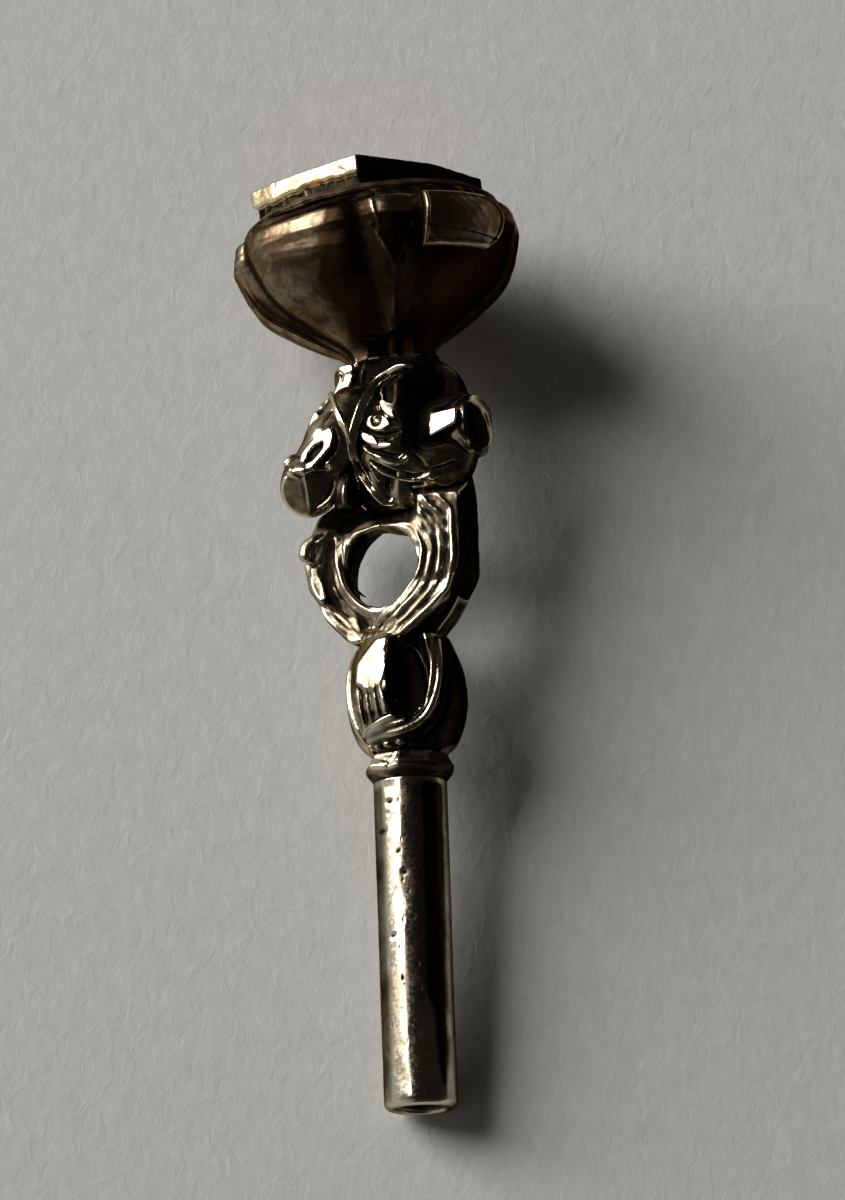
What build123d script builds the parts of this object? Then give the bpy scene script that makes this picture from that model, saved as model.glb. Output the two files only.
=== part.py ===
from build123d import *
import math
import os

# An antique figural watch key: a seal head on a short stem of two animal
# heads, a pierced eye for the fob ring, and a square-socket pipe.
# Millimetres.  The key is first built upright in its own axis system:
#   X  to the right as the key is looked at, Y  away from the viewer,
#   Z  along the key from the open end of the pipe (0) to the seal.
# It is then laid down, resting on the cup and on the end of the pipe.

# ---- lie of the key -------------------------------------------------------
LIE_DEG = 7.13          # slope of the key's axis when it lies on a flat surface
LEAN_DEG = 6.3          # the seal head is bent this much to the left of the pipe
LEAN_X, LEAN_Z = -0.2, 33.7   # the bend starts here, at the neck

# ---- pipe -----------------------------------------------------------------
PIPE_R = 1.60           # outside of the silver pipe
PIPE_BORE_R = 1.12      # inside of the silver pipe, outside of the steel socket
PIPE_TOP = 14.30
PIPE_LIP_R = 0.34       # rounded lip of the open end
SOCKET_SQUARE = 1.30    # across the flats of the winding square's socket
SOCKET_DEPTH = 8.8
SOCKET_TOP = 11.0       # the steel socket piece ends here inside the pipe
SOCKET_SET_BACK = 0.15
TENON_R = 1.00          # joins pipe, collar and bulb

# ---- collar ---------------------------------------------------------------
COLLAR_FLARE_Z = 14.90
COLLAR_TOP = 15.45
COLLAR_WIDE = 1.90      # half width across the eight flats, at the flare
COLLAR_NARROW = 1.62    # the same at the top

# ---- bulb -----------------------------------------------------------------
BULB_TOP = 20.60
BULB_CORE = [(1.35, 15.45), (1.85, 16.2), (2.12, 17.2), (2.15, 18.2), (1.95, 19.25), (1.55, 20.15), (1.15, 20.60)]
BULB_SKIN = [(1.62, 15.45), (2.18, 16.0), (2.55, 17.0), (2.66, 18.1), (2.52, 19.15), (2.22, 20.0), (1.95, 20.60)]
TENON_TOP = 17.7

# ---- pierced eye (the loop under the heads) --------------------------------
EYE_TURN_DEG = 28.0     # the loop's flat front is turned this far to the left
EYE_T = 2.40            # thickness of the loop
EYE_R = 1.72            # radius of the hole
EYE_C = (-0.52, 23.88)  # hole centre: along the loop's width, along the key
EYE_OUTLINE = [(2.95, 28.40), (3.22, 26.60), (3.28, 22.45), (2.55, 21.55), (1.65, 20.60), (-2.20, 20.60), (-3.35, 21.75),
               (-3.78, 22.70), (-4.02, 24.40), (-3.98, 26.70), (-3.30, 27.40), (-2.0, 28.30), (1.6, 28.90)]
EYE_SPLIT_Z = 22.30     # below this the strands cross, one in front of the other

# ---- figure ---------------------------------------------------------------
FIG_CORE = [(1.10, 26.30), (1.75, 26.95), (2.15, 28.2), (2.28, 29.6), (2.20, 31.0), (2.05, 32.2), (1.95, 33.05)]
FIG_TOP = 33.05
R_SKULL = ((1.20, -1.00, 30.60), 2.12)       # centre, radius
R_NOSE = ((3.40, -1.60, 29.95), 1.34)
R_JAW = ((0.75, -1.10, 28.75), 1.80)
L_SKULL = ((-2.10, -0.95, 30.05), 1.80)
L_NOSE = ((-3.92, -1.30, 27.42), 1.30)
MANE_R = 0.30
R_MANE = [(0.35, -1.75, 32.45), (-2.15, -2.45, 29.2), (-0.35, -2.35, 26.75)]
L_MANE = [(-2.45, -1.00, 31.75), (-2.75, -2.35, 29.4), (-1.95, -2.55, 27.0)]

# ---- cup (own axis system: Z from the neck, leaning with the head) ----------
CUP_BASE = -0.62
CUP_OUT = [(1.98, -0.62), (2.05, -0.20), (2.45, 0.22), (3.15, 0.62), (3.75, 1.00), (4.40, 1.45), (5.05, 1.95),
           (5.65, 2.50), (6.22, 3.50), (6.42, 4.30), (6.42, 4.90), (6.22, 5.40), (5.85, 5.80)]
CUP_TOP = 5.80
CUP_WALL = 0.80
CUP_FLOOR = 1.10
GROOVE_AZ = [-6.5, 18.0, 83.5, 108.0, 168.0, 192.0, 263.5, 288.0]   # degrees from the viewer, to the right
GROOVE_W, GROOVE_D = 0.42, 0.40
CART_AZ = (20.5, 61.0)  # applied cartouche plate: azimuth span
CART_Z = (2.95, 5.35)
CART_T = 0.28

# ---- seat plate, bezel and stone --------------------------------------------
SEAT_TOP = 6.22         # the plate that closes the cup and carries the bezel
SEAT_R0, SEAT_R1 = 5.70, 5.42
RIM_PLAN = [(-0.45, 4.85), (-4.00, 2.50), (-5.20, 1.25), (-2.95, -2.00),
            (0.45, -4.85), (4.00, -2.50), (5.20, -1.25), (2.95, 2.00)]   # x to the right, second towards the viewer
RIM_TOP = 7.75
RIM_WALL = 0.55
LEDGE_W, LEDGE_T = 0.55, 0.45
STONE_PROUD = 0.08
STONE_GAP = 0.03
RIVET_R, RIVET_HEAD_R, RIVET_HEAD_T = 0.75, 1.25, 0.45


def turned(points, name_top=True):
    """A solid of revolution about Z from (radius, z) points, closed on the axis."""
    z0, z1 = points[0][1], points[-1][1]
    line = Polyline(*[(r, 0, z) for r, z in points])
    close = Polyline((points[-1][0], 0, z1), (0, 0, z1), (0, 0, z0), (points[0][0], 0, z0))
    return revolve(make_face(line + close), Axis.Z, 360)


def smooth_turned(points):
    """The same with a smooth spline for the outside."""
    z0, z1 = points[0][1], points[-1][1]
    line = Spline(*[(r, 0, z) for r, z in points])
    close = Polyline((points[-1][0], 0, z1), (0, 0, z1), (0, 0, z0), (points[0][0], 0, z0))
    return revolve(make_face(line + close), Axis.Z, 360)


def rod(r, z0, z1):
    return Pos(0, 0, (z0 + z1) / 2) * Cylinder(r, z1 - z0)


def ball(c, r):
    return Pos(*c) * Sphere(r)


def cone_between(c0, r0, c1, r1):
    """A frustum whose ends are circles about two points."""
    a, b = Vector(*c0), Vector(*c1)
    d = b - a
    p0 = Plane(origin=a, z_dir=d)
    p1 = Plane(origin=b, z_dir=d)
    return loft([p0 * Circle(r0), p1 * Circle(r1)])


def polygon_face(points, z):
    """A face from (x, towards the viewer) points at height z."""
    return make_face(Polyline(*[(x, -v, z) for x, v in points], close=True))


def inset(points, d):
    """The convex polygon moved inwards by d on every side."""
    n = len(points)
    lines = []
    for i in range(n):
        (x0, y0), (x1, y1) = points[i], points[(i + 1) % n]
        length = math.hypot(x1 - x0, y1 - y0)
        nx, ny = -(y1 - y0) / length, (x1 - x0) / length   # inwards for a loop that runs anticlockwise
        lines.append((nx, ny, nx * (x0 + nx * d) + ny * (y0 + ny * d)))
    out = []
    for i in range(n):
        a, b = lines[i - 1], lines[i]
        det = a[0] * b[1] - a[1] * b[0]
        out.append(((a[2] * b[1] - a[1] * b[2]) / det, (a[0] * b[2] - a[2] * b[0]) / det))
    return out


def slab(points, z0, z1):
    return extrude(polygon_face(points, z0), z1 - z0, dir=(0, 0, 1))


parts = {}

# ---- seal head, in the cup's own axes --------------------------------------
outer = smooth_turned(CUP_OUT)
inner_pts = [(r - CUP_WALL, z) for r, z in CUP_OUT if z > CUP_FLOOR + 0.2]
inner_pts = [(2.6, CUP_FLOOR)] + inner_pts[:-1] + [(inner_pts[-2][0] - 0.25, CUP_TOP)]
cup = outer - turned(inner_pts)
for az in GROOVE_AZ:
    t = math.radians(az)
    pts = [(max(r - GROOVE_D, 0.1), z) for r, z in CUP_OUT if 0.3 < z < 5.7]
    shape = [(pts[0][0], 0, pts[0][1])] + [(r, 0, z) for r, z in pts[1:]] + [(7.5, 0, pts[-1][1]), (7.5, 0, pts[0][1])]
    blade = extrude(make_face(Polyline(*shape, close=True)), GROOVE_W / 2, both=True)
    # azimuth 0 faces the viewer (-Y) and grows to the right (+X)
    cup -= Rot(0, 0, az - 90) * blade
rivet_hole = rod(RIVET_R, CUP_BASE - 0.5, CUP_FLOOR + 0.5)
cup -= rivet_hole
parts["lobed_cup"] = cup

cart_skin = smooth_turned([(r + CART_T, z) for r, z in CUP_OUT]) - outer
mid, half = math.radians(sum(CART_AZ) / 2), math.radians((CART_AZ[1] - CART_AZ[0]) / 2)
wedge_pts = [(0, 0)] + [(9 * math.sin(mid + a), 9 * math.cos(mid + a)) for a in (half, half / 3, -half / 3, -half)]
wedge = slab(wedge_pts, CART_Z[0], CART_Z[1])
parts["cartouche_plate"] = cart_skin & wedge

inner_1 = inset(RIM_PLAN, RIM_WALL)
inner_2 = inset(RIM_PLAN, RIM_WALL + LEDGE_W)
rim = slab(RIM_PLAN, SEAT_TOP, RIM_TOP)
rim -= slab(inner_1, SEAT_TOP + LEDGE_T, RIM_TOP + 1)
rim -= slab(inner_2, SEAT_TOP - 1, RIM_TOP + 1)
parts["bezel_rim"] = rim
parts["seat_plate"] = turned([(SEAT_R0, CUP_TOP), (SEAT_R0, CUP_TOP + 0.12), (SEAT_R1, SEAT_TOP)])
parts["stone_cement"] = slab(inset(RIM_PLAN, RIM_WALL + LEDGE_W + 0.01), SEAT_TOP, SEAT_TOP + LEDGE_T)
stone_plan = inset(RIM_PLAN, RIM_WALL + STONE_GAP)
stone = slab(stone_plan, SEAT_TOP + LEDGE_T, RIM_TOP + STONE_PROUD)
stone = chamfer(stone.faces().sort_by(Axis.Z)[-1].edges(), 0.22)
parts["seal_stone"] = stone

rivet = rod(RIVET_R, CUP_BASE, CUP_FLOOR) + rod(RIVET_HEAD_R, CUP_FLOOR, CUP_FLOOR + RIVET_HEAD_T)
HEAD = ["lobed_cup", "cartouche_plate", "seat_plate", "bezel_rim", "stone_cement", "seal_stone"]
LEAN = Pos(LEAN_X, 0, LEAN_Z) * Rot(0, -LEAN_DEG, 0)
for name in HEAD:
    parts[name] = LEAN * parts[name]
rivet = LEAN * rivet

# ---- figure ---------------------------------------------------------------
# The top of the core is cut square to the leaning cup, so the two meet face to face.
core = smooth_turned(FIG_CORE[:-1] + [(FIG_CORE[-1][0], FIG_TOP + 0.9)])
below_cup = LEAN * (Pos(0, 0, CUP_BASE - 10) * Box(30, 30, 20))
core = core & below_cup
rivet_tail = LEAN * rod(RIVET_R, CUP_BASE - 2.2, CUP_BASE)
core -= rivet_tail
rivet = rivet + rivet_tail
parts["neck_rivet"] = rivet

full_core = core + rivet_tail
r_head = ball(*R_SKULL) + cone_between(R_SKULL[0], R_SKULL[1] * 0.86, R_NOSE[0], R_NOSE[1] * 0.97) + ball(*R_NOSE) + ball(*R_JAW)
r_head = r_head & below_cup
l_head = ball(*L_SKULL) + cone_between(L_SKULL[0], L_SKULL[1] * 0.86, L_NOSE[0], L_NOSE[1] * 0.97) + ball(*L_NOSE)
r_head = r_head - full_core
l_head = l_head - full_core - (ball(*R_SKULL))


def band(path, r):
    line = ThreePointArc(*path)
    return sweep(Plane(origin=line @ 0, z_dir=line % 0) * Circle(r), path=line)


r_mane = band(R_MANE, MANE_R)
l_mane = band(L_MANE, MANE_R)
r_mane = r_mane - full_core
l_mane = l_mane - full_core - r_mane
r_head = r_head - r_mane - l_mane
l_head = l_head - r_mane - l_mane


def largest(shape):
    """The biggest solid of a cut, without its crumbs."""
    return sorted(shape.solids(), key=lambda s: s.volume)[-1]


parts["figure_core"] = core
parts["right_hound_head"] = largest(r_head)
parts["left_hound_head"] = largest(l_head)
parts["right_mane_band"] = largest(r_mane)
parts["left_mane_band"] = largest(l_mane)

# ---- pierced eye ------------------------------------------------------------
t = math.radians(EYE_TURN_DEG)
EYE = Plane(origin=(0, 0, 0), x_dir=(math.cos(t), -math.sin(t), 0), z_dir=(-math.sin(t), -math.cos(t), 0))
ring = extrude(EYE * make_face(Polyline(*EYE_OUTLINE, close=True)), EYE_T / 2, both=True)
hole = extrude(EYE * (Pos(*EYE_C) * Circle(EYE_R)), EYE_T, both=True)
ring = ring - hole - full_core
for other in ("right_hound_head", "left_hound_head", "right_mane_band", "left_mane_band"):
    ring = ring - parts[other]


def eye_box(a0, a1, z0, z1, w0, w1):
    face = EYE * make_face(Polyline((a0, z0), (a1, z0), (a1, z1), (a0, z1), close=True))
    n = Vector(-math.sin(t), -math.cos(t), 0)
    return Pos(*(n * w0)) * extrude(face, w1 - w0, dir=n)


right = ring & (eye_box(EYE_C[0], 6, EYE_SPLIT_Z, 30, -3, 3) + eye_box(-6, 6, 18, EYE_SPLIT_Z, 0, 3))
left = ring & (eye_box(-6, EYE_C[0], EYE_SPLIT_Z, 30, -3, 3) + eye_box(-6, 6, 18, EYE_SPLIT_Z, -3, 0))
parts["right_loop_strand"] = largest(right)
parts["left_loop_strand"] = largest(left)

# ---- bulb -------------------------------------------------------------------
bulb = smooth_turned(BULB_CORE) - rod(TENON_R, 15, TENON_TOP)
skin = smooth_turned(BULB_SKIN) - smooth_turned(BULB_CORE)
parts["bulb_core"] = bulb


def sector(az0, az1, z0, z1, r=5.0):
    """A wedge from azimuth az0 to az1, up to 180 degrees wide."""
    n = 8
    pts = [(0, 0)] + [(r * math.sin(math.radians(az1 + (az0 - az1) * i / n)), r * math.cos(math.radians(az1 + (az0 - az1) * i / n))) for i in range(n + 1)]
    return slab(pts, z0, z1)


# Two tail leaves wrap the core, with an open pocket between them in front and behind.
parts["left_tail_leaf"] = largest(skin & sector(-152, -8, 15, 22))
parts["right_tail_leaf"] = largest(skin & sector(28, 172, 15, 22))

# ---- collar, pipe and socket -----------------------------------------------
def octagon(apothem, z):
    n = 8
    r = apothem / math.cos(math.pi / n)
    return make_face(Polyline(*[(r * math.cos(2 * math.pi * (i + 0.5) / n), r * math.sin(2 * math.pi * (i + 0.5) / n), z) for i in range(n)], close=True))


band_8 = loft([octagon(COLLAR_WIDE, COLLAR_FLARE_Z), octagon(COLLAR_NARROW, COLLAR_TOP)])
flare = turned([(PIPE_R, PIPE_TOP), (COLLAR_WIDE, COLLAR_FLARE_Z - 0.1), (COLLAR_WIDE, COLLAR_FLARE_Z)])
parts["collar_ring"] = flare + band_8 - rod(TENON_R, 13, 17)

pipe = rod(PIPE_R, 0, PIPE_TOP)
pipe = fillet(pipe.edges().filter_by(GeomType.CIRCLE).sort_by(Axis.Z)[0], PIPE_LIP_R)
parts["pipe_tube"] = pipe - rod(PIPE_BORE_R, -1, PIPE_TOP + 1)
socket = rod(PIPE_BORE_R, SOCKET_SET_BACK, SOCKET_TOP)
hole_sq = Pos(0, 0, SOCKET_DEPTH / 2 - 0.5) * (Rot(0, 0, 45) * Box(SOCKET_SQUARE, SOCKET_SQUARE, SOCKET_DEPTH + 1))
parts["steel_socket"] = socket - hole_sq
parts["stem_tenon"] = rod(PIPE_BORE_R, SOCKET_TOP, PIPE_TOP) + rod(TENON_R, PIPE_TOP, TENON_TOP)

# ---- lay the key down -------------------------------------------------------
DOWN = Rot(-(90 - LIE_DEG), 0, 0)
laid = {name: DOWN * shape for name, shape in parts.items()}
# The rib underneath is worn flat where the cup has lain on it, level with the
# lowest point of the pipe's end, so the key rests without rolling.
ground = laid["pipe_tube"].bounding_box().min.Z
laid["lobed_cup"] = laid["lobed_cup"] - Pos(0, 30, ground - 5) * Box(60, 60, 10)
boxes = [s.bounding_box() for s in laid.values()]
x0, x1 = min(b.min.X for b in boxes), max(b.max.X for b in boxes)
y0, y1 = min(b.min.Y for b in boxes), max(b.max.Y for b in boxes)
z0, z1 = ground, max(b.max.Z for b in boxes)
SHIFT = (-(x0 + x1) / 2, -(y0 + y1) / 2, -z0)
place = Pos(*SHIFT)

os.makedirs("parts", exist_ok=True)
for name in sorted(laid):
    shape = place * laid[name]
    export_step(shape, f"parts/{name}.step")

print("size", round(x1 - x0, 3), round(y1 - y0, 3), round(z1 - z0, 3))
print("key origin (pipe end on the axis) in the row frame", [round(v, 4) for v in SHIFT])
for name in sorted(laid):
    b = laid[name].bounding_box()
    print(f"{name:20s} lowest {b.min.Z - z0:7.3f}  volume {laid[name].volume:8.3f}  solids {len(laid[name].solids())}")
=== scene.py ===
import bpy
import math
import mathutils
import numpy as np
import openvdb
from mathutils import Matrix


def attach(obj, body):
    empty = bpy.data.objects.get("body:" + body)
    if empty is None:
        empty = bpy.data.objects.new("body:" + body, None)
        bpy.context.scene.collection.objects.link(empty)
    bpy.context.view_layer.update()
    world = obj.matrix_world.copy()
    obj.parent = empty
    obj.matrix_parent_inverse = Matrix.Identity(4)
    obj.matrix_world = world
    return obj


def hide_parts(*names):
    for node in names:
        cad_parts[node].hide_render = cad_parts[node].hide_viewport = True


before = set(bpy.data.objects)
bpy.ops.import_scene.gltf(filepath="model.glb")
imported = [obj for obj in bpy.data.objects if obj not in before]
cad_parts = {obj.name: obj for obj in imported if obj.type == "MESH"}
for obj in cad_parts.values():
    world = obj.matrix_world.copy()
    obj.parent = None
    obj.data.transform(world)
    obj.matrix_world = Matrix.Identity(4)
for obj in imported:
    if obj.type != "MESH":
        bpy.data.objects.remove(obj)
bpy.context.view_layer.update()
scene = bpy.context.scene

# ---------------------------------------------------------------------------
# Axes.  Shapes are made in the key's own axes, in millimetres:
#   u to the right of the figure's front, v towards the viewer, s along the key
#   from the open end of the pipe.  row() takes them to the row frame in metres.
# ---------------------------------------------------------------------------
LIE = math.radians(7.13)
SB, CB = math.sin(LIE), math.cos(LIE)
SHIFT = np.array([0.7062, -20.8349, 1.5481])
LEAN = math.radians(6.3)
SL, CL = math.sin(LEAN), math.cos(LEAN)


def row(p):
    p = np.asarray(p, float)
    out = np.empty_like(p)
    out[..., 0] = p[..., 0] + SHIFT[0]
    out[..., 1] = -p[..., 1] * SB + p[..., 2] * CB + SHIFT[1]
    out[..., 2] = p[..., 1] * CB + p[..., 2] * SB + SHIFT[2]
    return out * 0.001


def key_axes(p):
    """Millimetres of the row frame to the key's axes."""
    q = np.asarray(p, float) - SHIFT
    return np.stack([q[..., 0], -q[..., 1] * SB + q[..., 2] * CB, q[..., 1] * CB + q[..., 2] * SB], -1)


def key_dir(d):
    return np.array([d[0], -d[1] * SB + d[2] * CB, d[1] * CB + d[2] * SB])


def from_head(p):
    """The leaning seal head's axes (its base at the neck) to the key's axes."""
    p = np.asarray(p, float)
    out = np.empty_like(p)
    out[..., 0] = p[..., 0] * CL - p[..., 2] * SL - 0.2
    out[..., 1] = p[..., 1]
    out[..., 2] = p[..., 0] * SL + p[..., 2] * CL + 33.7
    return out


# ---------------------------------------------------------------------------
# Camera, at the photograph's viewing angle.
# ---------------------------------------------------------------------------
WIDE, HIGH = 845.0, 1200.0
AZ, EL, DIST = math.radians(-1.94), math.radians(68.7), 290.0
AIM = np.array([1.508, 1.347, 4.550])
AWAY = np.array([math.sin(AZ) * math.cos(EL), -math.cos(AZ) * math.cos(EL), math.sin(EL)])
EYE = AIM + DIST * AWAY
LOOK = -AWAY
RIGHT = np.cross(LOOK, [0, 0, 1.0])
RIGHT /= np.linalg.norm(RIGHT)
UP = np.cross(RIGHT, LOOK)
FOV = math.radians(10.277)
FOCAL = HIGH / 2 / math.tan(FOV / 2)

cam_data = bpy.data.cameras.new("camera")
cam_data.sensor_fit = "AUTO"
cam_data.sensor_width = 36.0
cam_data.lens = 18.0 / math.tan(FOV / 2)
cam_data.clip_start = 0.01
cam_data.clip_end = 20.0
cam = bpy.data.objects.new("camera", cam_data)
scene.collection.objects.link(cam)
m = np.eye(4)
m[:3, 0], m[:3, 1], m[:3, 2], m[:3, 3] = RIGHT, UP, AWAY, EYE * 0.001
cam.matrix_world = mathutils.Matrix([list(r) for r in m])
scene.camera = cam

EYE_K = key_axes(EYE)


def sight(px, py):
    """Direction in the key's axes of the line of sight through a point of the picture."""
    d = LOOK + (px - WIDE / 2) / FOCAL * RIGHT - (py - HIGH / 2) / FOCAL * UP
    return key_dir(d)


def on_tilted(px, py, n, w):
    """The same for the plane p . n = w."""
    r = sight(px, py)
    return EYE_K + (w - EYE_K @ n) / (r @ n) * r


def on_plane(px, py, v):
    """Where the line of sight through a picture point meets the plane at that v."""
    r = sight(px, py)
    return EYE_K + (v - EYE_K[1]) / r[1] * r


# ---------------------------------------------------------------------------
# Distance fields on a grid, for everything that was carved.
# ---------------------------------------------------------------------------
FINE = 0.055


def smin(a, b, k):
    if k <= 0:
        return np.minimum(a, b)
    h = np.maximum(k - np.abs(a - b), 0.0) / k
    return np.minimum(a, b) - h * h * k * 0.25


def smax(a, b, k):
    return -smin(-a, -b, k)


def ball(c, r):
    return lambda x, y, z: np.sqrt((x - c[0]) ** 2 + (y - c[1]) ** 2 + (z - c[2]) ** 2) - r


def egg(c, r, turn=None):
    """Ellipsoid; turn is a 3x3 matrix whose rows are its own axes."""
    def f(x, y, z):
        x, y, z = x - c[0], y - c[1], z - c[2]
        if turn is not None:
            x, y, z = [t[0] * x + t[1] * y + t[2] * z for t in turn]
        k0 = np.sqrt((x / r[0]) ** 2 + (y / r[1]) ** 2 + (z / r[2]) ** 2)
        k1 = np.sqrt((x / r[0] ** 2) ** 2 + (y / r[1] ** 2) ** 2 + (z / r[2] ** 2) ** 2) + 1e-9
        return k0 * (k0 - 1.0) / k1
    return f


def capsule(a, b, ra, rb):
    a, b = np.asarray(a, float), np.asarray(b, float)
    ab = b - a
    ll = float(ab @ ab) + 1e-12

    def f(x, y, z):
        t = np.clip(((x - a[0]) * ab[0] + (y - a[1]) * ab[1] + (z - a[2]) * ab[2]) / ll, 0, 1)
        return np.sqrt((x - a[0] - t * ab[0]) ** 2 + (y - a[1] - t * ab[1]) ** 2 + (z - a[2] - t * ab[2]) ** 2) - (ra + t * (rb - ra))
    return f


def axes_of(x_axis, z_hint):
    """Rows of a turned set of axes: first along x_axis, third near z_hint."""
    x = np.asarray(x_axis, float); x /= np.linalg.norm(x)
    z = np.asarray(z_hint, float); z = z - (z @ x) * x; z /= np.linalg.norm(z)
    return [x, np.cross(z, x), z]


def smooth_line(pts, step):
    """Points about step apart on a Catmull-Rom curve through pts (any number of columns)."""
    p = np.asarray(pts, float)
    if len(p) == 2:
        n = max(int(np.linalg.norm((p[1] - p[0])[:2]) / step), 1)
        return p[0] + (p[1] - p[0]) * np.linspace(0, 1, n + 1)[:, None]
    q = np.vstack([2 * p[0] - p[1], p, 2 * p[-1] - p[-2]])
    out = []
    for i in range(1, len(q) - 2):
        n = max(int(np.linalg.norm((q[i + 1] - q[i])[:3]) / step), 1)
        t = (np.arange(n) / n)[:, None]
        a, b, c, d = q[i - 1], q[i], q[i + 1], q[i + 2]
        out.append(0.5 * (2 * b + (c - a) * t + (2 * a - 5 * b + 4 * c - d) * t ** 2 + (3 * b - a - 3 * c + d) * t ** 3))
    out.append(q[-2:-1])
    return np.vstack(out)


class Field:
    """A signed distance field over a box, in the key's axes."""

    def __init__(self, lo, hi, h=None):
        self.h = h or FINE
        self.lo = np.asarray(lo, float)
        n = np.ceil((np.asarray(hi, float) - self.lo) / self.h).astype(int) + 1
        self.ax = [self.lo[i] + self.h * np.arange(n[i]) for i in range(3)]
        self.d = np.full(tuple(n), 4.0, np.float32)

    def block(self, lo, hi):
        sl, g = [], []
        for i in range(3):
            a = max(int(math.floor((lo[i] - self.lo[i]) / self.h)), 0)
            b = min(int(math.ceil((hi[i] - self.lo[i]) / self.h)) + 1, len(self.ax[i]))
            if b <= a:
                return None, None
            sl.append(slice(a, b))
            shape = [1, 1, 1]
            shape[i] = -1
            g.append(self.ax[i][a:b].reshape(shape))
        return tuple(sl), g

    def add(self, f, lo=None, hi=None, k=0.0):
        sl, g = self.block(self.lo if lo is None else lo, [a[-1] for a in self.ax] if hi is None else hi)
        if sl:
            self.d[sl] = smin(self.d[sl], f(*g), k)
        return self

    def cut(self, f, lo=None, hi=None, k=0.0):
        sl, g = self.block(self.lo if lo is None else lo, [a[-1] for a in self.ax] if hi is None else hi)
        if sl:
            self.d[sl] = smax(self.d[sl], -f(*g), k)
        return self

    def keep(self, f, k=0.0):
        _, g = self.block(self.lo, [a[-1] for a in self.ax])
        self.d = smax(self.d, f(*g).astype(np.float32), k).astype(np.float32)
        return self

    def swell(self, f):
        """Adds f(x, y, z) millimetres of metal to the surface."""
        _, g = self.block(self.lo, [a[-1] for a in self.ax])
        self.d = (self.d - f(*g)).astype(np.float32)
        return self

    def at(self, p):
        p = (np.asarray(p, float) - self.lo) / self.h
        n = np.array(self.d.shape)
        inside = np.all((p >= 0) & (p <= n - 1), -1)
        q = np.clip(p, 0, n - 1.001)
        i = q.astype(int)
        f = q - i
        d = self.d
        r = 0
        for a in (0, 1):
            for b in (0, 1):
                for c in (0, 1):
                    w = (f[..., 0] if a else 1 - f[..., 0]) * (f[..., 1] if b else 1 - f[..., 1]) * (f[..., 2] if c else 1 - f[..., 2])
                    r = r + w * d[np.minimum(i[..., 0] + a, n[0] - 1), np.minimum(i[..., 1] + b, n[1] - 1), np.minimum(i[..., 2] + c, n[2] - 1)]
        return np.where(inside, r, 4.0)

    def path(self, pts, wide, lift=0.0, press=False, k=0.06):
        """A raised or pressed line along pts (n x 3).  wide is its half width, one number or one for each point
        of the curve; lift moves its middle towards the viewer."""
        pts = np.asarray(pts, float)
        w = np.broadcast_to(np.asarray(wide, float), (len(pts),)) if np.ndim(wide) == 0 else np.interp(
            np.linspace(0, 1, len(pts)), np.linspace(0, 1, len(wide)), wide)
        margin = w.max() + k + 2 * self.h
        sl, g = self.block(pts.min(0) - margin, pts.max(0) + margin)
        if not sl:
            return self
        best = np.full([s.stop - s.start for s in sl], 4.0)
        for i in range(len(pts) - 1):
            m1 = max(w[i], w[i + 1]) + k + 2 * self.h
            s2, g2 = self.block(np.minimum(pts[i], pts[i + 1]) - m1, np.maximum(pts[i], pts[i + 1]) + m1)
            if not s2:
                continue
            rel = tuple(slice(a.start - b.start, a.stop - b.start) for a, b in zip(s2, sl))
            best[rel] = np.minimum(best[rel], capsule(pts[i], pts[i + 1], w[i], w[i + 1])(*g2))
        self.d[sl] = smax(self.d[sl], -best, k) if press else smin(self.d[sl], best, k)
        return self


def hit(fields, px, py, near=8.0, far=-8.0, step=0.03):
    """Where the line of sight through a picture point first meets one of the fields."""
    r = sight(px, py)
    v = np.arange(near, far, -step)
    p = EYE_K + ((v - EYE_K[1]) / r[1])[:, None] * r
    d = np.min([f.at(p) for f in fields], 0)
    inside = np.nonzero(d < 0)[0]
    if len(inside) and inside[0] > 0:
        i = inside[0]
        t = d[i - 1] / (d[i - 1] - d[i])
        return p[i - 1] + t * (p[i] - p[i - 1])
    return p[int(np.argmin(d))]


TOWARDS = np.array([0.0, 1.0, 0.0])


def traced(fields, picture, step=3.0, even=2):
    """A line given by picture points, laid on the surface as it is seen."""
    line = smooth_line(np.asarray(picture, float), step)
    p = np.array([hit(fields, x, y) for x, y in line])
    for _ in range(even):
        if len(p) > 2:
            q = p.copy()
            q[1:-1, 1] = 0.25 * p[:-2, 1] + 0.5 * p[1:-1, 1] + 0.25 * p[2:, 1]
            p = q
    return p


def ridge(f, picture, wide=0.12, high=0.10, k=0.08, on=None, taper=True):
    """A raised line, high proud of the surface and 2 x wide across."""
    p = traced(on or [f], picture)
    w = np.array([wide * 0.45, wide, wide, wide, wide * 0.45]) if taper else wide
    f.path(p + TOWARDS * (high - wide), w, k=k)
    return p


def groove(f, picture, wide=0.10, deep=0.12, k=0.05, on=None, taper=True):
    p = traced(on or [f], picture)
    w = np.array([wide * 0.35, wide, wide, wide, wide * 0.35]) if taper else wide
    f.path(p + TOWARDS * (wide - deep), w, press=True, k=k)
    return p


SHINE = np.array([-0.504, 0.854, 0.131])     # a facet turned this way looks into the window


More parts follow.
